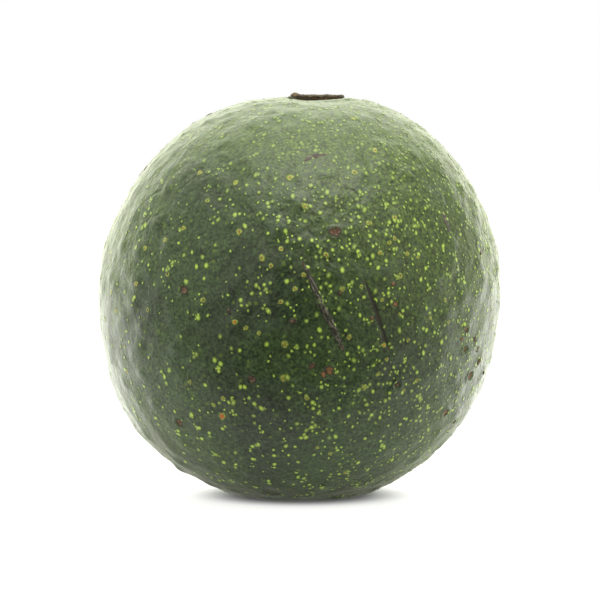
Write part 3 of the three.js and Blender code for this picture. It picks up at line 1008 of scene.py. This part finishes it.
def stem_streaks(tree, place, offset):
    """Faint streaks that run from the stem down over the shoulder"""
    axes = axes_of(tree, place)
    across = maths(tree, "SUBTRACT", axes["X"], offset)
    squares = [maths(tree, "POWER", side, 2.0) for side in (across, axes["Y"])]
    away = maths(tree, "SQRT", plus(tree, *squares))
    laid = round_axis(tree, across, axes["Y"], times(tree, away, 16.0))
    return times(tree, STEM_STREAKS.lay(tree, laid), fade(tree, axes["Z"], *STREAKED_SHOULDER, 0.0, 0.3))


def rind_material(colours, stem_offset):
    material, tree, shader, place = new_material("waxy rind", 0.35, WAX)
    tone = rind_tone(tree, place, colours)
    height = axes_of(tree, place)["Z"]
    smears = times(tree, SMEARS.lay(tree, place, 0.0, 0.45), fade(tree, height, *LOWER_HALF, 0.45, 1.15))
    flecks = use_group(tree, flecks_group(), {"Vector": place, **FLECKS}).outputs["Mask"]
    ragged = times(tree, noise_of(tree, place, 600.0, 3.0), 0.5)
    collar = fade(tree, plus(tree, attribute(tree, "collar"), ragged), 0.55, 1.15)
    green = tone["Color"]
    for share, over in (
        (fade(tree, attribute(tree, "pebble"), 0.25, 0.9, 0.0, 0.25), colours.fresh),
        # Grey wax smears, and towards the crown a painted reflection of the light above
        (most(tree, smears, fade(tree, height, *CROWN_SHEEN, 0.0, 0.6)), colours.bloom_and_sheen),
        (times(tree, flecks, 0.9), colours.streak),
        (stem_streaks(tree, place, stem_offset), colours.lenticel_dull),
        (side_streaks(tree, place), colours.streak),
        (collar, colours.cork_dark),
    ):
        green = mix(tree, share, green, over)
    plug(tree, shader.inputs["Roughness"], plus(tree, tone["Roughness"], times(tree, collar, 0.3)))
    peel = add(tree, "ShaderNodeTexVoronoi", {"Vector": place, "Scale": 760.0}, feature="SMOOTH_F1")
    wrinkles = noise_of(tree, place, 420.0, 4.0, 1.5)
    lumps = times(tree, noise_of(tree, place, 210.0, 2.0, 0.8), fade(tree, height, *LUMPY_HALF, 0.8, 7.5))
    grain = noise_of(tree, place, GRAIN_SCALE, 3.0)
    relief = plus(tree, grain, times(tree, peel, 0.8), times(tree, wrinkles, 1.6), lumps)
    paint(tree, shader, green, relief, RIND_GRAIN)
    return material


def lenticel_material(colours):
    material, tree, shader, place = new_material("lenticels", 0.42, WAX)
    rind = rind_tone(tree, place, colours)["Color"]
    radial, height = attribute(tree, "radial"), axes_of(tree, place)["Z"]
    greyed = fade(tree, height, *GREYED_LENTICELS, 0.0, 0.85)
    dull = most(tree, fade(tree, attribute(tree, "tone"), 0.1, 0.9), greyed)
    dot = mix(tree, dull, colours.lenticel, colours.lenticel_dull)
    dot = mix(tree, fade(tree, radial, 0.0, 0.4, 0.5, 0.0), dot, colours.lenticel_core)
    dot = mix(tree, fade(tree, height, *COVERED_LENTICELS, 0.0, 0.45), dot, rind)
    shade = mix(tree, fade(tree, radial, 0.22, 0.8), dot, mix(tree, 0.5, rind, colours.halo))
    shade = mix(tree, fade(tree, radial, 0.76, 0.97), shade, rind)
    paint(tree, shader, shade, noise_of(tree, place, 2600.0), LENTICEL_GRAIN)
    return material


def ragged_radial(tree, place, scale, amount):
    """How far out on its disc a place lies, made uneven so that no edge is round"""
    wobble = times(tree, maths(tree, "SUBTRACT", noise_of(tree, place, scale, 3.0), 0.5), amount)
    return plus(tree, attribute(tree, "radial"), wobble)


def ringed_material(colours):
    material, tree, shader, place = new_material("ringed lenticels", 0.5, WAX)
    rind = rind_tone(tree, place, colours)["Color"]
    radial = ragged_radial(tree, place, 1500.0, 1.1)
    age = attribute(tree, "tone")
    middle = mix(tree, fade(tree, age, 0.45, 1.0), colours.rust, colours.scab)
    middle = mix(tree, fade(tree, age, 0.35, 0.05), middle, colours.orange)
    inner = maths(tree, "SUBTRACT", radial, fade(tree, age, 0.1, 0.0, 0.0, 0.18))
    shade = mix(tree, fade(tree, inner, 0.15, 0.38), middle, colours.ring)
    gaps = times(tree, RING_GAPS.lay(tree, place, 0.0, 0.75), fade(tree, radial, 0.25, 0.45))
    rim = fade(tree, attribute(tree, "radial"), 0.75, 0.97)
    shade = mix(tree, most(tree, fade(tree, radial, 0.5, 0.85), gaps, rim), shade, rind)
    paint(tree, shader, shade, noise_of(tree, place, 2200.0, 3.0), RIND_GRAIN)
    return material


def scab_material(colours):
    material, tree, shader, place = new_material("dry scab", 0.72)
    rind = rind_tone(tree, place, colours)["Color"]
    red = mix(tree, attribute(tree, "tone"), colours.scab, colours.rust)
    look = {"Vector": place, "Dark": red, "Light": colours.scab_light, "Scale": 900.0}
    cork = use_group(tree, corky_group(), look).outputs
    radial = ragged_radial(tree, place, 1300.0, 1.2)
    shade = mix(tree, fade(tree, radial, 0.45, 0.75, 0.0, 0.85), cork["Color"], colours.cork_dark)
    outside = most(tree, fade(tree, radial, 0.8, 0.95), fade(tree, attribute(tree, "radial"), 0.85, 1.0))
    paint(tree, shader, mix(tree, outside, shade, rind), cork["Height"], CORK_GRAIN)
    return material


def cork_material(name, colours, dark, light, scale, lean):
    """Corky scar tissue with fibres that run along it, blending into the rind at its edges"""
    material, tree, shader, place = new_material(name, 0.7)
    rind = rind_tone(tree, place, colours)["Color"]
    turned = add(tree, "ShaderNodeVectorRotate", {"Vector": place, "Angle": lean}, rotation_type="Y_AXIS")
    laid = add(tree, "ShaderNodeMapping", {"Vector": turned, "Scale": (1.0, 1.0, FIBRE_STRETCH)})
    look = {"Vector": laid, "Dark": dark, "Light": light, "Scale": scale}
    cork = use_group(tree, corky_group(), look).outputs
    across, along = attribute(tree, "radial"), attribute(tree, "along")
    shade = mix(tree, fade(tree, across, 0.55, 0.85, 0.0, 0.6), cork["Color"], dark)
    ends = most(tree, fade(tree, along, 0.06, 0.0), fade(tree, along, 0.93, 1.0))
    shade = mix(tree, times(tree, ends, 0.2), shade, colours.rust)
    shade = mix(tree, fade(tree, across, 0.82, 1.0), shade, rind)
    paint(tree, shader, shade, cork["Height"], CORK_GRAIN)
    return material


def wood_material(colours):
    material, tree, shader, place = new_material("weathered wood", 0.85)
    laid = add(tree, "ShaderNodeMapping", {"Vector": place, "Scale": (1.0, 1.0, WOOD_STRETCH)})
    look = {"Vector": laid, "Dark": colours.wood_dark, "Light": colours.wood, "Scale": 800.0}
    cork = use_group(tree, corky_group(), look).outputs
    knob = times(tree, fade(tree, attribute(tree, "knob"), 0.2, 0.8), 0.8)
    shade = mix(tree, knob, cork["Color"], colours.wood_light)
    shade = mix(tree, WOOD_FIBRES.lay(tree, laid, 0.0, 0.6), shade, colours.wood_light)
    paint(tree, shader, shade, cork["Height"], WOOD_GRAIN)
    return material


# Lenticels

DOT_SIDES = 6
DOT_RINGS = [(1.0, -0.5), (0.6, 0.6)]  # share of radius, share of rise
DOT_RISE = 0.055  # rise of a lenticel's middle in millimetres
GROVES = Pattern(60.0, 2.0, 0.0, 0.36, 0.64)  # where lenticels grow dense
BARE_FOOT = 0.6  # no lenticel grows lower than this, in millimetres
SPARSE_LEFT = (-0.03, 0.035)  # along X in metres, from where lenticels are few to where they are many
SPARSE_FOOT = (0.012, 0.034)  # heights in metres
SMALL_RIGHT = (-0.005, 0.04)  # along X in metres, from full size to smaller
CROWDING = 8.0  # the higher, the fewer places hold more than one lenticel
SMALLNESS = 2.1  # the higher, the fewer lenticels are large
RAGGEDNESS = 0.3  # how far a lenticel's outline strays, in millimetres


def dot_object():
    """One low closed dome of unit size that the lenticels are copies of"""
    turns = 2 * math.pi * np.arange(DOT_SIDES) / DOT_SIDES
    points, radial = [], []
    for share, height in DOT_RINGS:
        points += [(share * math.cos(t), share * math.sin(t), height) for t in turns]
        radial += [share] * DOT_SIDES
    points.append((0, 0, 1))
    radial.append(0)
    faces = [tuple(reversed(range(DOT_SIDES)))]
    for i in range(DOT_SIDES):
        j = (i + 1) % DOT_SIDES
        faces.append((i, j, DOT_SIDES + j, DOT_SIDES + i))
        faces.append((DOT_SIDES + i, DOT_SIDES + j, 2 * DOT_SIDES))
    return mesh_object("dot shape", points, faces, {"radial": radial}, crisp=True)


def lenticel_tree():
    """Scatters clusters of lenticels over a mesh and sets them square to it"""
    tree = bpy.data.node_groups.new("Scatter Lenticels", "GeometryNodeTree")
    name_sockets(tree, "INPUT", {
        "Geometry": "Geometry", "Dot": "Object", "Density": "Float", "Most Dots": "Int", "Spread": "Float",
        "Smallest": "Float", "Largest": "Float", "Rise": "Float", "Seed": "Int", "Apart": "Float",
        "Material": "Material",
    })
    name_sockets(tree, "OUTPUT", {"Geometry": "Geometry"})
    into = tree.nodes.new("NodeGroupInput").outputs
    rind = into["Geometry"]
    where = add(tree, "GeometryNodeInputPosition")
    axes = axes_of(tree, where)

    def random_value(low, high, step, kind="FLOAT"):
        made = add(tree, "FunctionNodeRandomValue", data_type=kind)
        sockets = [s for s in made.inputs if s.enabled]
        plug(tree, sockets[0], low)
        plug(tree, sockets[1], high)
        plug(tree, made.inputs["Seed"], plus(tree, into["Seed"], step))
        return next(s for s in made.outputs if s.enabled)

    share = times(
        tree,
        GROVES.lay(tree, where, 0.46, 0.8),
        fade(tree, axes["X"], *SPARSE_LEFT, 0.4, 1.4),
        fade(tree, axes["Z"], *SPARSE_FOOT, 0.85, 1.0),
        maths(tree, "GREATER_THAN", axes["Z"], BARE_FOOT * MM),
    )
    scatter = add(tree, "GeometryNodeDistributePointsOnFaces", {
        "Mesh": rind,
        "Distance Min": into["Apart"],
        "Density Max": times(tree, into["Density"], 1.8),
        "Density Factor": share,
        "Seed": into["Seed"],
    }, distribute_method="POISSON")
    crowd = maths(tree, "POWER", random_value(0.0, 1.0, 1), CROWDING)
    copies = add(tree, "GeometryNodeDuplicateElements", {
        "Geometry": scatter.outputs["Points"],
        "Amount": plus(tree, 1.0, times(tree, crowd, into["Most Dots"])),
    }, domain="POINT")
    copied = maths(tree, "GREATER_THAN", copies.outputs["Duplicate Index"], 0.5)
    way = random_value((-1.0, -1.0, -1.0), (1.0, 1.0, 1.0), 2, "FLOAT_VECTOR")
    reach = times(tree, into["Spread"], copied)
    offset = add(tree, "ShaderNodeVectorMath", {0: way, "Scale": reach}, operation="SCALE")
    moved = add(tree, "GeometryNodeSetPosition", {"Geometry": copies, "Offset": offset})
    nearest = add(tree, "GeometryNodeProximity", {"Target": rind}, target_element="FACES")
    settled = add(tree, "GeometryNodeSetPosition", {
        "Geometry": moved, "Position": nearest.outputs["Position"],
    })
    toned = add(tree, "GeometryNodeStoreNamedAttribute", {
        "Geometry": settled, "Name": "tone", "Value": random_value(0.0, 1.0, 3),
    }, data_type="FLOAT", domain="POINT")
    square = add(tree, "GeometryNodeSampleNearestSurface", {
        "Mesh": rind, "Value": add(tree, "GeometryNodeInputNormal"),
    }, data_type="FLOAT_VECTOR")
    turned = add(tree, "FunctionNodeAlignRotationToVector", {"Vector": (0.0, 0.0, 1.0)}, axis="Y")
    turned = add(tree, "FunctionNodeAlignRotationToVector", {"Rotation": turned, "Vector": square}, axis="Z")
    spin = add(tree, "FunctionNodeEulerToRotation", {"Euler": from_axes(tree, Z=random_value(-0.6, 0.6, 4))})
    turned = add(
        tree, "FunctionNodeRotateRotation", {"Rotation": turned, "Rotate By": spin}, rotation_space="LOCAL"
    )
    size = maths(tree, "POWER", random_value(0.0, 1.0, 5), SMALLNESS)
    widest = maths(tree, "SUBTRACT", into["Largest"], into["Smallest"])
    radius = plus(tree, into["Smallest"], times(tree, size, widest))
    radius = times(tree, radius, fade(tree, axes["X"], *SMALL_RIGHT, 1.0, 0.82))
    length_along = times(tree, radius, random_value(0.85, 1.5, 6))
    dot = add(tree, "GeometryNodeObjectInfo", {"Object": into["Dot"]})
    placed = add(tree, "GeometryNodeInstanceOnPoints", {
        "Points": toned,
        "Instance": dot.outputs["Geometry"],
        "Rotation": turned,
        "Scale": from_axes(tree, X=radius, Y=length_along, Z=into["Rise"]),
    })
    real = add(tree, "GeometryNodeRealizeInstances", {"Geometry": placed})
    wobble = add(tree, "ShaderNodeTexNoise", {"Vector": where, "Scale": 1300.0, "Detail": 1.0})
    centred = {0: wobble.outputs["Color"], 1: (0.5, 0.5, 0.5)}
    centred = add(tree, "ShaderNodeVectorMath", centred, operation="SUBTRACT")
    shift = add(tree, "ShaderNodeVectorMath", {0: centred, "Scale": RAGGEDNESS * MM}, operation="SCALE")
    uneven = add(tree, "GeometryNodeSetPosition", {"Geometry": real, "Offset": shift})
    smooth = add(tree, "GeometryNodeSetShadeSmooth", {"Geometry": uneven})
    dressed = add(tree, "GeometryNodeSetMaterial", {"Geometry": smooth, "Material": into["Material"]})
    plug(tree, tree.nodes.new("NodeGroupOutput").inputs[0], dressed)
    return tree


def run_tree(piece, tree, values):
    """Runs a node tree on a piece with named inputs, and leaves the result as a plain mesh"""
    modifier = piece.modifiers.new(tree.name, "NODES")
    modifier.node_group = tree
    for socket in tree.interface.items_tree:
        if socket.in_out == "INPUT" and socket.name in values:
            modifier[socket.identifier] = values[socket.name]
    depsgraph = bpy.context.evaluated_depsgraph_get()
    mesh = bpy.data.meshes.new_from_object(
        piece.evaluated_get(depsgraph), preserve_all_data_layers=True, depsgraph=depsgraph
    )
    piece.modifiers.remove(modifier)
    old = piece.data
    piece.data = mesh
    bpy.data.meshes.remove(old)


def point_values(mesh, name):
    values = np.empty(len(mesh.vertices), np.float32)
    mesh.attributes[name].data.foreach_get("value", values)
    return values


# Operators

# Screens round the fruit: 1 lies towards the camera and -1 behind, then the brightness as a share
SCREENS = [
    (-1.0, 1.15), (-0.75, 1.1), (-0.6, 0.8), (-0.45, 0.4), (-0.25, 0.3), (0.05, 0.35), (0.3, 0.41),
    (0.5, 0.48), (0.78, 0.46), (0.87, 0.2), (0.93, 0.04), (0.97, 0.0), (1.0, 0.0),
]
TOWARDS_CAMERA = (0.12, -0.993, 0.0)
SURROUNDINGS_TINT = (0.97, 1.0, 0.84, 1.0)
FLOOR_REACH = 1.6  # half the floor's side in metres
PAINTED_CONTACT_SHADOW = (0.014, 0.028)  # distances in metres over which the contact shadow painted into the floor's glow round the resting spot fades
FAR_BOUNCE = (0.12, 0.2)  # where the floor starts to give less light to the rind
FAR_GLOW = (0.12, 0.22)
FLOOR_GREY = (0.38, 0.38, 0.38, 1.0)
SOFTBOX_SIZE = (0.62, 0.5)
SOFTBOX_PLACE = (0.16, -0.34, 0.9)  # from the fruit's centre


class AVOCADO_OT_stage(Operator):
    """Set the camera, the pale floor, the white surroundings and the overhead softbox"""

    bl_idname = "avocado.stage"
    bl_label = "Stage"

    def execute(self, context):
        stage = context.scene.avocado.stage
        height = context.scene.avocado.body.centre_height
        self.set_camera(context, stage, height)
        self.lay_floor()
        self.set_world(context, stage)
        self.hang_softbox(stage, height)
        context.scene.view_settings.view_transform = "Standard"
        return {"FINISHED"}

    def set_camera(self, context, stage, height):
        camera = bpy.data.objects.new("camera", bpy.data.cameras.new("camera"))
        context.scene.collection.objects.link(camera)
        away = Vector((0, -math.cos(stage.tilt), math.sin(stage.tilt))) * stage.distance
        camera.location = Vector((0, 0, height)) + away
        camera.rotation_euler = (math.pi / 2 - stage.tilt, 0, 0)
        camera.data.lens = camera.data.sensor_width * stage.distance / stage.frame_width
        context.scene.camera = camera

    def lay_floor(self):
        """A white floor for the camera with a contact shadow painted into its glow, and for the rind's light
        a glowing floor, dark in front and bright near and behind the fruit, that paints bounce light
        """
        corners = [(x * FLOOR_REACH, y * FLOOR_REACH, 0) for x, y in ((-1, -1), (1, -1), (1, 1), (-1, 1))]
        floor = mesh_object("floor", corners, [(0, 1, 2, 3)])
        material, tree, shader, place = new_material("pale floor", 0.7, {"Emission Strength": 1.0})
        axes = axes_of(tree, place)
        along, beside = axes["Y"], maths(tree, "ABSOLUTE", axes["X"])
        far = add(tree, "ShaderNodeVectorMath", {0: place}, operation="LENGTH").outputs["Value"]
        # The rind's light from the floor is painted: its colour is dark in front and lighter behind and
        # beside the fruit, and it glows near the fruit though it is no lamp
        behind = fade(tree, along, -0.1, -0.045, 0.03, 0.5)
        bounced = most(tree, behind, fade(tree, beside, 0.055, 0.11, 0.03, 0.36))
        bounced = times(tree, bounced, fade(tree, far, *FAR_BOUNCE, 1.0, 0.6))
        near = fade(tree, along, -0.075, -0.035, 0.0, 0.32)
        near = times(tree, near, fade(tree, far, 0.012, 0.034, 0.35, 1.0))
        side = times(tree, fade(tree, far, 0.05, 0.09), fade(tree, along, -0.02, 0.08, 0.0, 2.3))
        side = times(tree, side, fade(tree, far, *FAR_GLOW, 1.0, 0.8))
        seen = add(tree, "ShaderNodeLightPath").outputs["Is Camera Ray"]
        # For the camera the floor's glow carries a painted contact shadow round the resting spot
        glow_with_painted_shadow = fade(tree, far, *PAINTED_CONTACT_SHADOW, 0.08, 0.79)
        plug(tree, shader.inputs["Base Color"], mix(tree, seen, bounced, FLOOR_GREY))
        plug(tree, shader.inputs["Emission Color"], mix(tree, seen, plus(tree, near, side), glow_with_painted_shadow))
        floor.data.materials.append(material)

    def set_world(self, context, stage):
        world = bpy.data.worlds.new("white surroundings")
        context.scene.world = world
        world.use_nodes = True
        tree = world.node_tree
        tree.nodes.clear()
        way = add(tree, "ShaderNodeTexCoord").outputs["Generated"]
        towards = add(tree, "ShaderNodeVectorMath", {0: way, 1: TOWARDS_CAMERA}, operation="DOT_PRODUCT")
        share = {"Value": towards.outputs["Value"], "From Min": -1.0, "From Max": 1.0}
        screens = add(tree, "ShaderNodeValToRGB", {"Fac": add(tree, "ShaderNodeMapRange", share)})
        stops = screens.color_ramp.elements
        stops.remove(stops[1])
        for towards_camera, share in SCREENS:
            stops.new((towards_camera + 1) / 2).color = (share, share, share, 1)
        stops.remove(stops[0])
        side = times(tree, screens.outputs["Color"], stage.screen_light)
        roof = fade(tree, axes_of(tree, way)["Z"], 0.6, 1.0, 0.0, stage.top_light)
        level = mix(tree, 1.0, plus(tree, side, roof), SURROUNDINGS_TINT, "MULTIPLY")
        seen = add(tree, "ShaderNodeLightPath").outputs["Is Camera Ray"]
        level = mix(tree, seen, level, (*[stage.backdrop] * 3, 1.0))
        sky = add(tree, "ShaderNodeBackground", {"Color": level, "Strength": 1.0})
        add(tree, "ShaderNodeOutputWorld", {"Surface": sky})

    def hang_softbox(self, stage, height):
        data = bpy.data.lights.new("softbox", "AREA")
        data.shape = "RECTANGLE"
        data.size, data.size_y = SOFTBOX_SIZE
        data.energy = stage.box_power
        box = bpy.data.objects.new("softbox", data)
        box.location = Vector((0, 0, height)) + Vector(SOFTBOX_PLACE)
        box.rotation_euler = (-Vector(SOFTBOX_PLACE)).to_track_quat("-Z", "Y").to_euler()
        bpy.context.scene.collection.objects.link(box)


class AVOCADO_OT_rind(Operator):
    """Make the rind: a fine mesh of the fruit with its pebbles, dimples, wounds and socket"""

    bl_idname = "avocado.rind"
    bl_label = "Rind"

    def execute(self, context):
        settings = context.scene.avocado
        rind = Rind(settings)
        points, triangles = cube_net(CUBE_STEPS)
        for _ in range(2):
            points, triangles = refine(
                points, triangles, lambda dirs: self.is_fine(rind, dirs), FINE_EDGE / rind.radius
            )
        pebble = np.clip(rind.pebbles(points) / (settings.relief.pebble_highest / MM), 0, 1)
        away = rind.away_from_stem(points, rind.smooth_radius(points))
        collar = np.exp(-(((away - rind.stem["socket_radius"] + COLLAR["inside"]) / COLLAR["width"]) ** 2))
        skin = mesh_object("avocado_rind", rind.skin_points(points), triangles,
                           {"pebble": pebble, "collar": collar}, cube_map(points, triangles))
        finish_piece(skin, "skin", rind_material(settings.colours, settings.stem.offset), "fruit")
        return {"FINISHED"}

    def is_fine(self, rind, dirs):
        """Whether the rind turns fast at these directions: at scars, wounds and the socket"""
        away = rind.away_from_stem(dirs, rind.smooth_radius(dirs))
        fine = np.abs(away - rind.stem["socket_radius"]) < FINE_REACH["socket"]
        for scar in rind.scars:
            fine |= rind.near_scar(dirs, scar)[0] < scar["width"] * FINE_REACH["scar"]
        for place, radius in rind.wounds:
            fine |= np.linalg.norm(dirs - place, axis=1) * rind.radius < radius * FINE_REACH["wound"]
        return fine


class AVOCADO_OT_lenticels(Operator):
    """Scatter the small yellow-green lenticels over the rind"""

    bl_idname = "avocado.lenticels"
    bl_label = "Lenticels"

    def execute(self, context):
        settings = context.scene.avocado
        spots = settings.spots
        skin = bpy.data.objects["avocado_rind"].data
        area = sum(face.area for face in skin.polygons)
        piece = bpy.data.objects.new("lenticels", skin.copy())
        context.scene.collection.objects.link(piece)
        dot, material = dot_object(), lenticel_material(settings.colours)
        run_tree(piece, lenticel_tree(), {
            "Dot": dot,
            "Material": material,
            "Density": spots.cluster_count / area,
            "Most Dots": spots.most_dots,
            "Spread": spots.spread,
            "Apart": spots.apart,
            "Smallest": spots.smallest,
            "Largest": spots.largest,
            "Rise": DOT_RISE * MM,
            "Seed": spots.seed,
        })
        bpy.data.objects.remove(dot)
        mesh = piece.data
        lookup = np.stack([point_values(mesh, "radial"), point_values(mesh, "tone")], 1)[corner_points(mesh)]
        for layer in list(mesh.uv_layers):
            mesh.uv_layers.remove(layer)
        mesh.uv_layers.new(name="OFBake").uv.foreach_set("vector", lookup.ravel())
        finish_piece(piece, "skin", material)
        return {"FINISHED"}


class AVOCADO_OT_spots(Operator):
    """Lay the ringed spots and the dark scabs on the rind"""

    bl_idname = "avocado.spots"
    bl_label = "Spots and Scabs"

    def execute(self, context):
        settings = context.scene.avocado
        rind = Rind(settings)
        colours = settings.colours
        ringed = self.front_discs(rind, RINGED_PIXELS, 100, RINGED_RISE)
        ringed += self.far_discs(settings.spots.far_spots, 61, (0.5, 1.0), RINGED_RISE)
        self.lay(rind, "ringed_lenticels", ringed, ringed_material(colours))
        scabs = self.front_discs(rind, SCAB_PIXELS, 300, SCAB_RISE)
        scabs += [
            (place, radius * 0.85, SCAB_RISE, 0.3, 400 + i)
            for i, (place, radius) in enumerate(rind.wounds[len(WOUNDS):])
        ]
        scabs += self.far_discs(settings.spots.far_scabs, 83, (0.6, 1.2), SCAB_RISE)
        self.lay(rind, "scabs", scabs, scab_material(colours))
        return {"FINISHED"}

    def front_discs(self, rind, pixels, seed, rise):
        """Discs where the photograph shows a spot"""
        return [
            (rind.seen_at_pixel(column, row), radius, rise, tone, seed + i)
            for i, (column, row, radius, tone) in enumerate(pixels)
        ]

    def far_discs(self, count, seed, sizes, rise):
        """Discs placed by draws over the part of the rind that the front view hides"""
        draw = seeded_draws(seed)
        discs = []
        while len(discs) < count:
            place = np.array(on_ring(2 * math.pi * draw(), between(-0.92, 0.95, draw())))
            radius = between(*sizes, draw() ** 2)
            if place[1] > -0.12:
                discs.append((place, radius, rise, draw(), seed + len(discs)))
        return discs

    def lay(self, rind, name, discs, material):
        points, faces, radial, tones = lay_discs(rind, discs)
        lookup = np.stack([radial, tones], 1)
        piece = mesh_object(name, points, faces, {"radial": radial, "tone": tones}, lookup, crisp=True)
        finish_piece(piece, "skin", material)


class AVOCADO_OT_scars(Operator):
    """Lay the long corky scar, the dark crease and the small healed scratches"""

    bl_idname = "avocado.scars"
    bl_label = "Scars"

    def execute(self, context):
        settings = context.scene.avocado
        rind = Rind(settings)
        colours = settings.colours
        dark = colours.cork_dark
        scratch = cork_material("healed scratch", colours, colours.smear_dark, colours.smear, 1200.0, -1.3)
        materials = {
            "long_scar": cork_material("grey cork", colours, dark, colours.cork, 1500.0, 0.43),
            # The crease's dark colour is partly painted shade of its groove
            "crease": cork_material("dark crease", colours, dark, colours.crease, 900.0, 0.37),
            "crown_scratch": scratch,
            "side_scratch": scratch,
        }
        for name, material in materials.items():
            points, faces, across, along = lay_strip(rind, STRIPS[name])
            lookup = np.stack([along, across], 1)
            piece = mesh_object(name, points, faces, {"radial": across, "along": along}, lookup, crisp=True)
            finish_piece(piece, "skin", material)
        return {"FINISHED"}


BUTTON_SEGMENTS = 160
BUTTON_TOP_RINGS = 26
BUTTON_SIDE_RINGS = 8
RIM_WAVES = [(2, 0.6, 0.02), (3, 2.1, 0.018), (7, 0.0, 0.012)]  # waves round the rim, phase, share of radius
KNOB_PLACE = (-0.82, -0.12)  # as shares of the button's radius


class AVOCADO_OT_button(Operator):
    """Make the dry woody button that the stalk left in the crown"""

    bl_idname = "avocado.button"
    bl_label = "Stem Button"

    def execute(self, context):
        settings = context.scene.avocado
        rind = Rind(settings)
        stem = rind.stem
        under = stem["socket_floor"] + stem["clearance"]
        profile = self.profile(stem, under)
        points, knob = [(0.0, 0.0, under)], [0.0]
        for away, height in profile:
            for i in range(BUTTON_SEGMENTS):
                turn = 2 * math.pi * i / BUTTON_SEGMENTS
                x, y, z, share = self.worn_place(stem, under, away, height, turn)
                points.append((x, y, z))
                knob.append(share)
        x, y, z, share = self.worn_place(stem, under, 0.0, stem["top_height"], 0.0)
        points.append((x, y, z))
        knob.append(share)
        faces = []
        last = len(points) - 1
        for i in range(BUTTON_SEGMENTS):
            j = (i + 1) % BUTTON_SEGMENTS
            faces.append((0, 1 + j, 1 + i))
            for ring in range(len(profile) - 1):
                low = 1 + ring * BUTTON_SEGMENTS
                high = low + BUTTON_SEGMENTS
                faces.append((low + i, low + j, high + j, high + i))
            top = 1 + (len(profile) - 1) * BUTTON_SEGMENTS
            faces.append((top + i, top + j, last))
        place = np.array(points) + (stem["offset"], 0, rind.body["centre_height"])
        button = mesh_object("woody_button", place * MM, faces, {"knob": knob})
        finish_piece(button, "stem", wood_material(settings.colours), "stem_button")
        return {"FINISHED"}

    def profile(self, stem, under):
        """Distance from the axis and height of each ring, from the underside's middle to the top's"""
        radius, top, rounding = stem["button_radius"], stem["top_height"], stem["edge_round"]
        rings = [(radius * share, under) for share in (0.3, 0.6, 0.85)]
        rings += [(radius - rounding, under), (radius - 0.3 * rounding, under + 0.3 * rounding)]
        side = np.linspace(under + rounding, top - rounding, BUTTON_SIDE_RINGS)
        rings += [(radius, height) for height in side]
        rings += [(radius - 0.3 * rounding, top - 0.3 * rounding)]
        inwards = np.linspace(radius - rounding, 0.04 * radius, BUTTON_TOP_RINGS)
        return rings + [(away, top) for away in inwards]

    def worn_place(self, stem, under, away, height, turn):
        """A point of the button after wear: uneven rim, furrowed side, grained top and knob"""
        radius = stem["button_radius"]
        rim = sum((size * math.sin(waves * turn + phase) for waves, phase, size in RIM_WAVES), 1.0)
        share = away / radius
        raised = (height - under) / (stem["top_height"] - under)
        furrow = noise.noise(Vector((9 * math.cos(turn), 9 * math.sin(turn), 0.5 * raised)))
        layer = noise.noise(Vector((2 * math.cos(turn), 2 * math.sin(turn), 5 * raised)))
        reach = away * (rim + share**4 * (0.02 * furrow + 0.025 * layer))
        x, y = reach * math.cos(turn), reach * math.sin(turn)
        hollow = -stem["hollow"] * math.exp(-((share / 0.55) ** 2))
        grain = 0.07 * math.sin(2.1 * x + 0.7 * y) + 0.06 * math.sin(1.3 * y - 2.6 * x + 1.2)
        fine = 0.1 * noise.noise(Vector((1.6 * x, 1.6 * y, 2)))
        fine += 0.07 * noise.noise(Vector((4 * x, 4 * y, 5)))
        spokes = 0.06 * noise.noise(Vector((7 * math.cos(turn), 7 * math.sin(turn), 3))) * min(1, 3 * share)
        knob_x, knob_y = (part * radius for part in KNOB_PLACE)
        knob = math.exp(-((math.hypot(x - knob_x, y - knob_y) / stem["knob_width"]) ** 2))
        z = height + raised * (hollow + grain + fine + spokes + stem["knob_height"] * knob)
        return x, y, z, knob


class AVOCADO_PT_panel(Panel):
    """Lists the steps that build the avocado"""

    bl_idname = "AVOCADO_PT_panel"
    bl_label = "Avocado"
    bl_space_type = "VIEW_3D"
    bl_region_type = "UI"
    bl_category = "Avocado"

    def draw(self, context):
        for step in STEPS:
            self.layout.operator(step.bl_idname)
        for group in ("body", "stem", "relief", "spots", "colours", "stage"):
            box = self.layout.box()
            box.label(text=group.title())
            settings = getattr(context.scene.avocado, group)
            for key in type(settings).__annotations__:
                box.prop(settings, key)


STEPS = (
    AVOCADO_OT_stage,
    AVOCADO_OT_rind,
    AVOCADO_OT_lenticels,
    AVOCADO_OT_spots,
    AVOCADO_OT_scars,
    AVOCADO_OT_button,
)
GROUPS = (
    AvocadoBody, AvocadoStem, AvocadoRelief, AvocadoSpots, AvocadoColours, AvocadoStage, AvocadoSettings,
)


def register():
    for item in (*GROUPS, *STEPS, AVOCADO_PT_panel):
        bpy.utils.register_class(item)
    bpy.types.Scene.avocado = PointerProperty(type=AvocadoSettings)


def unregister():
    del bpy.types.Scene.avocado
    for item in reversed((*GROUPS, *STEPS, AVOCADO_PT_panel)):
        bpy.utils.unregister_class(item)


def main():
    register()
    bpy.ops.avocado.stage()
    bpy.ops.avocado.rind()
    bpy.ops.avocado.lenticels()
    bpy.ops.avocado.spots()
    bpy.ops.avocado.scars()
    bpy.ops.avocado.button()


if __name__ == "__main__":
    main()
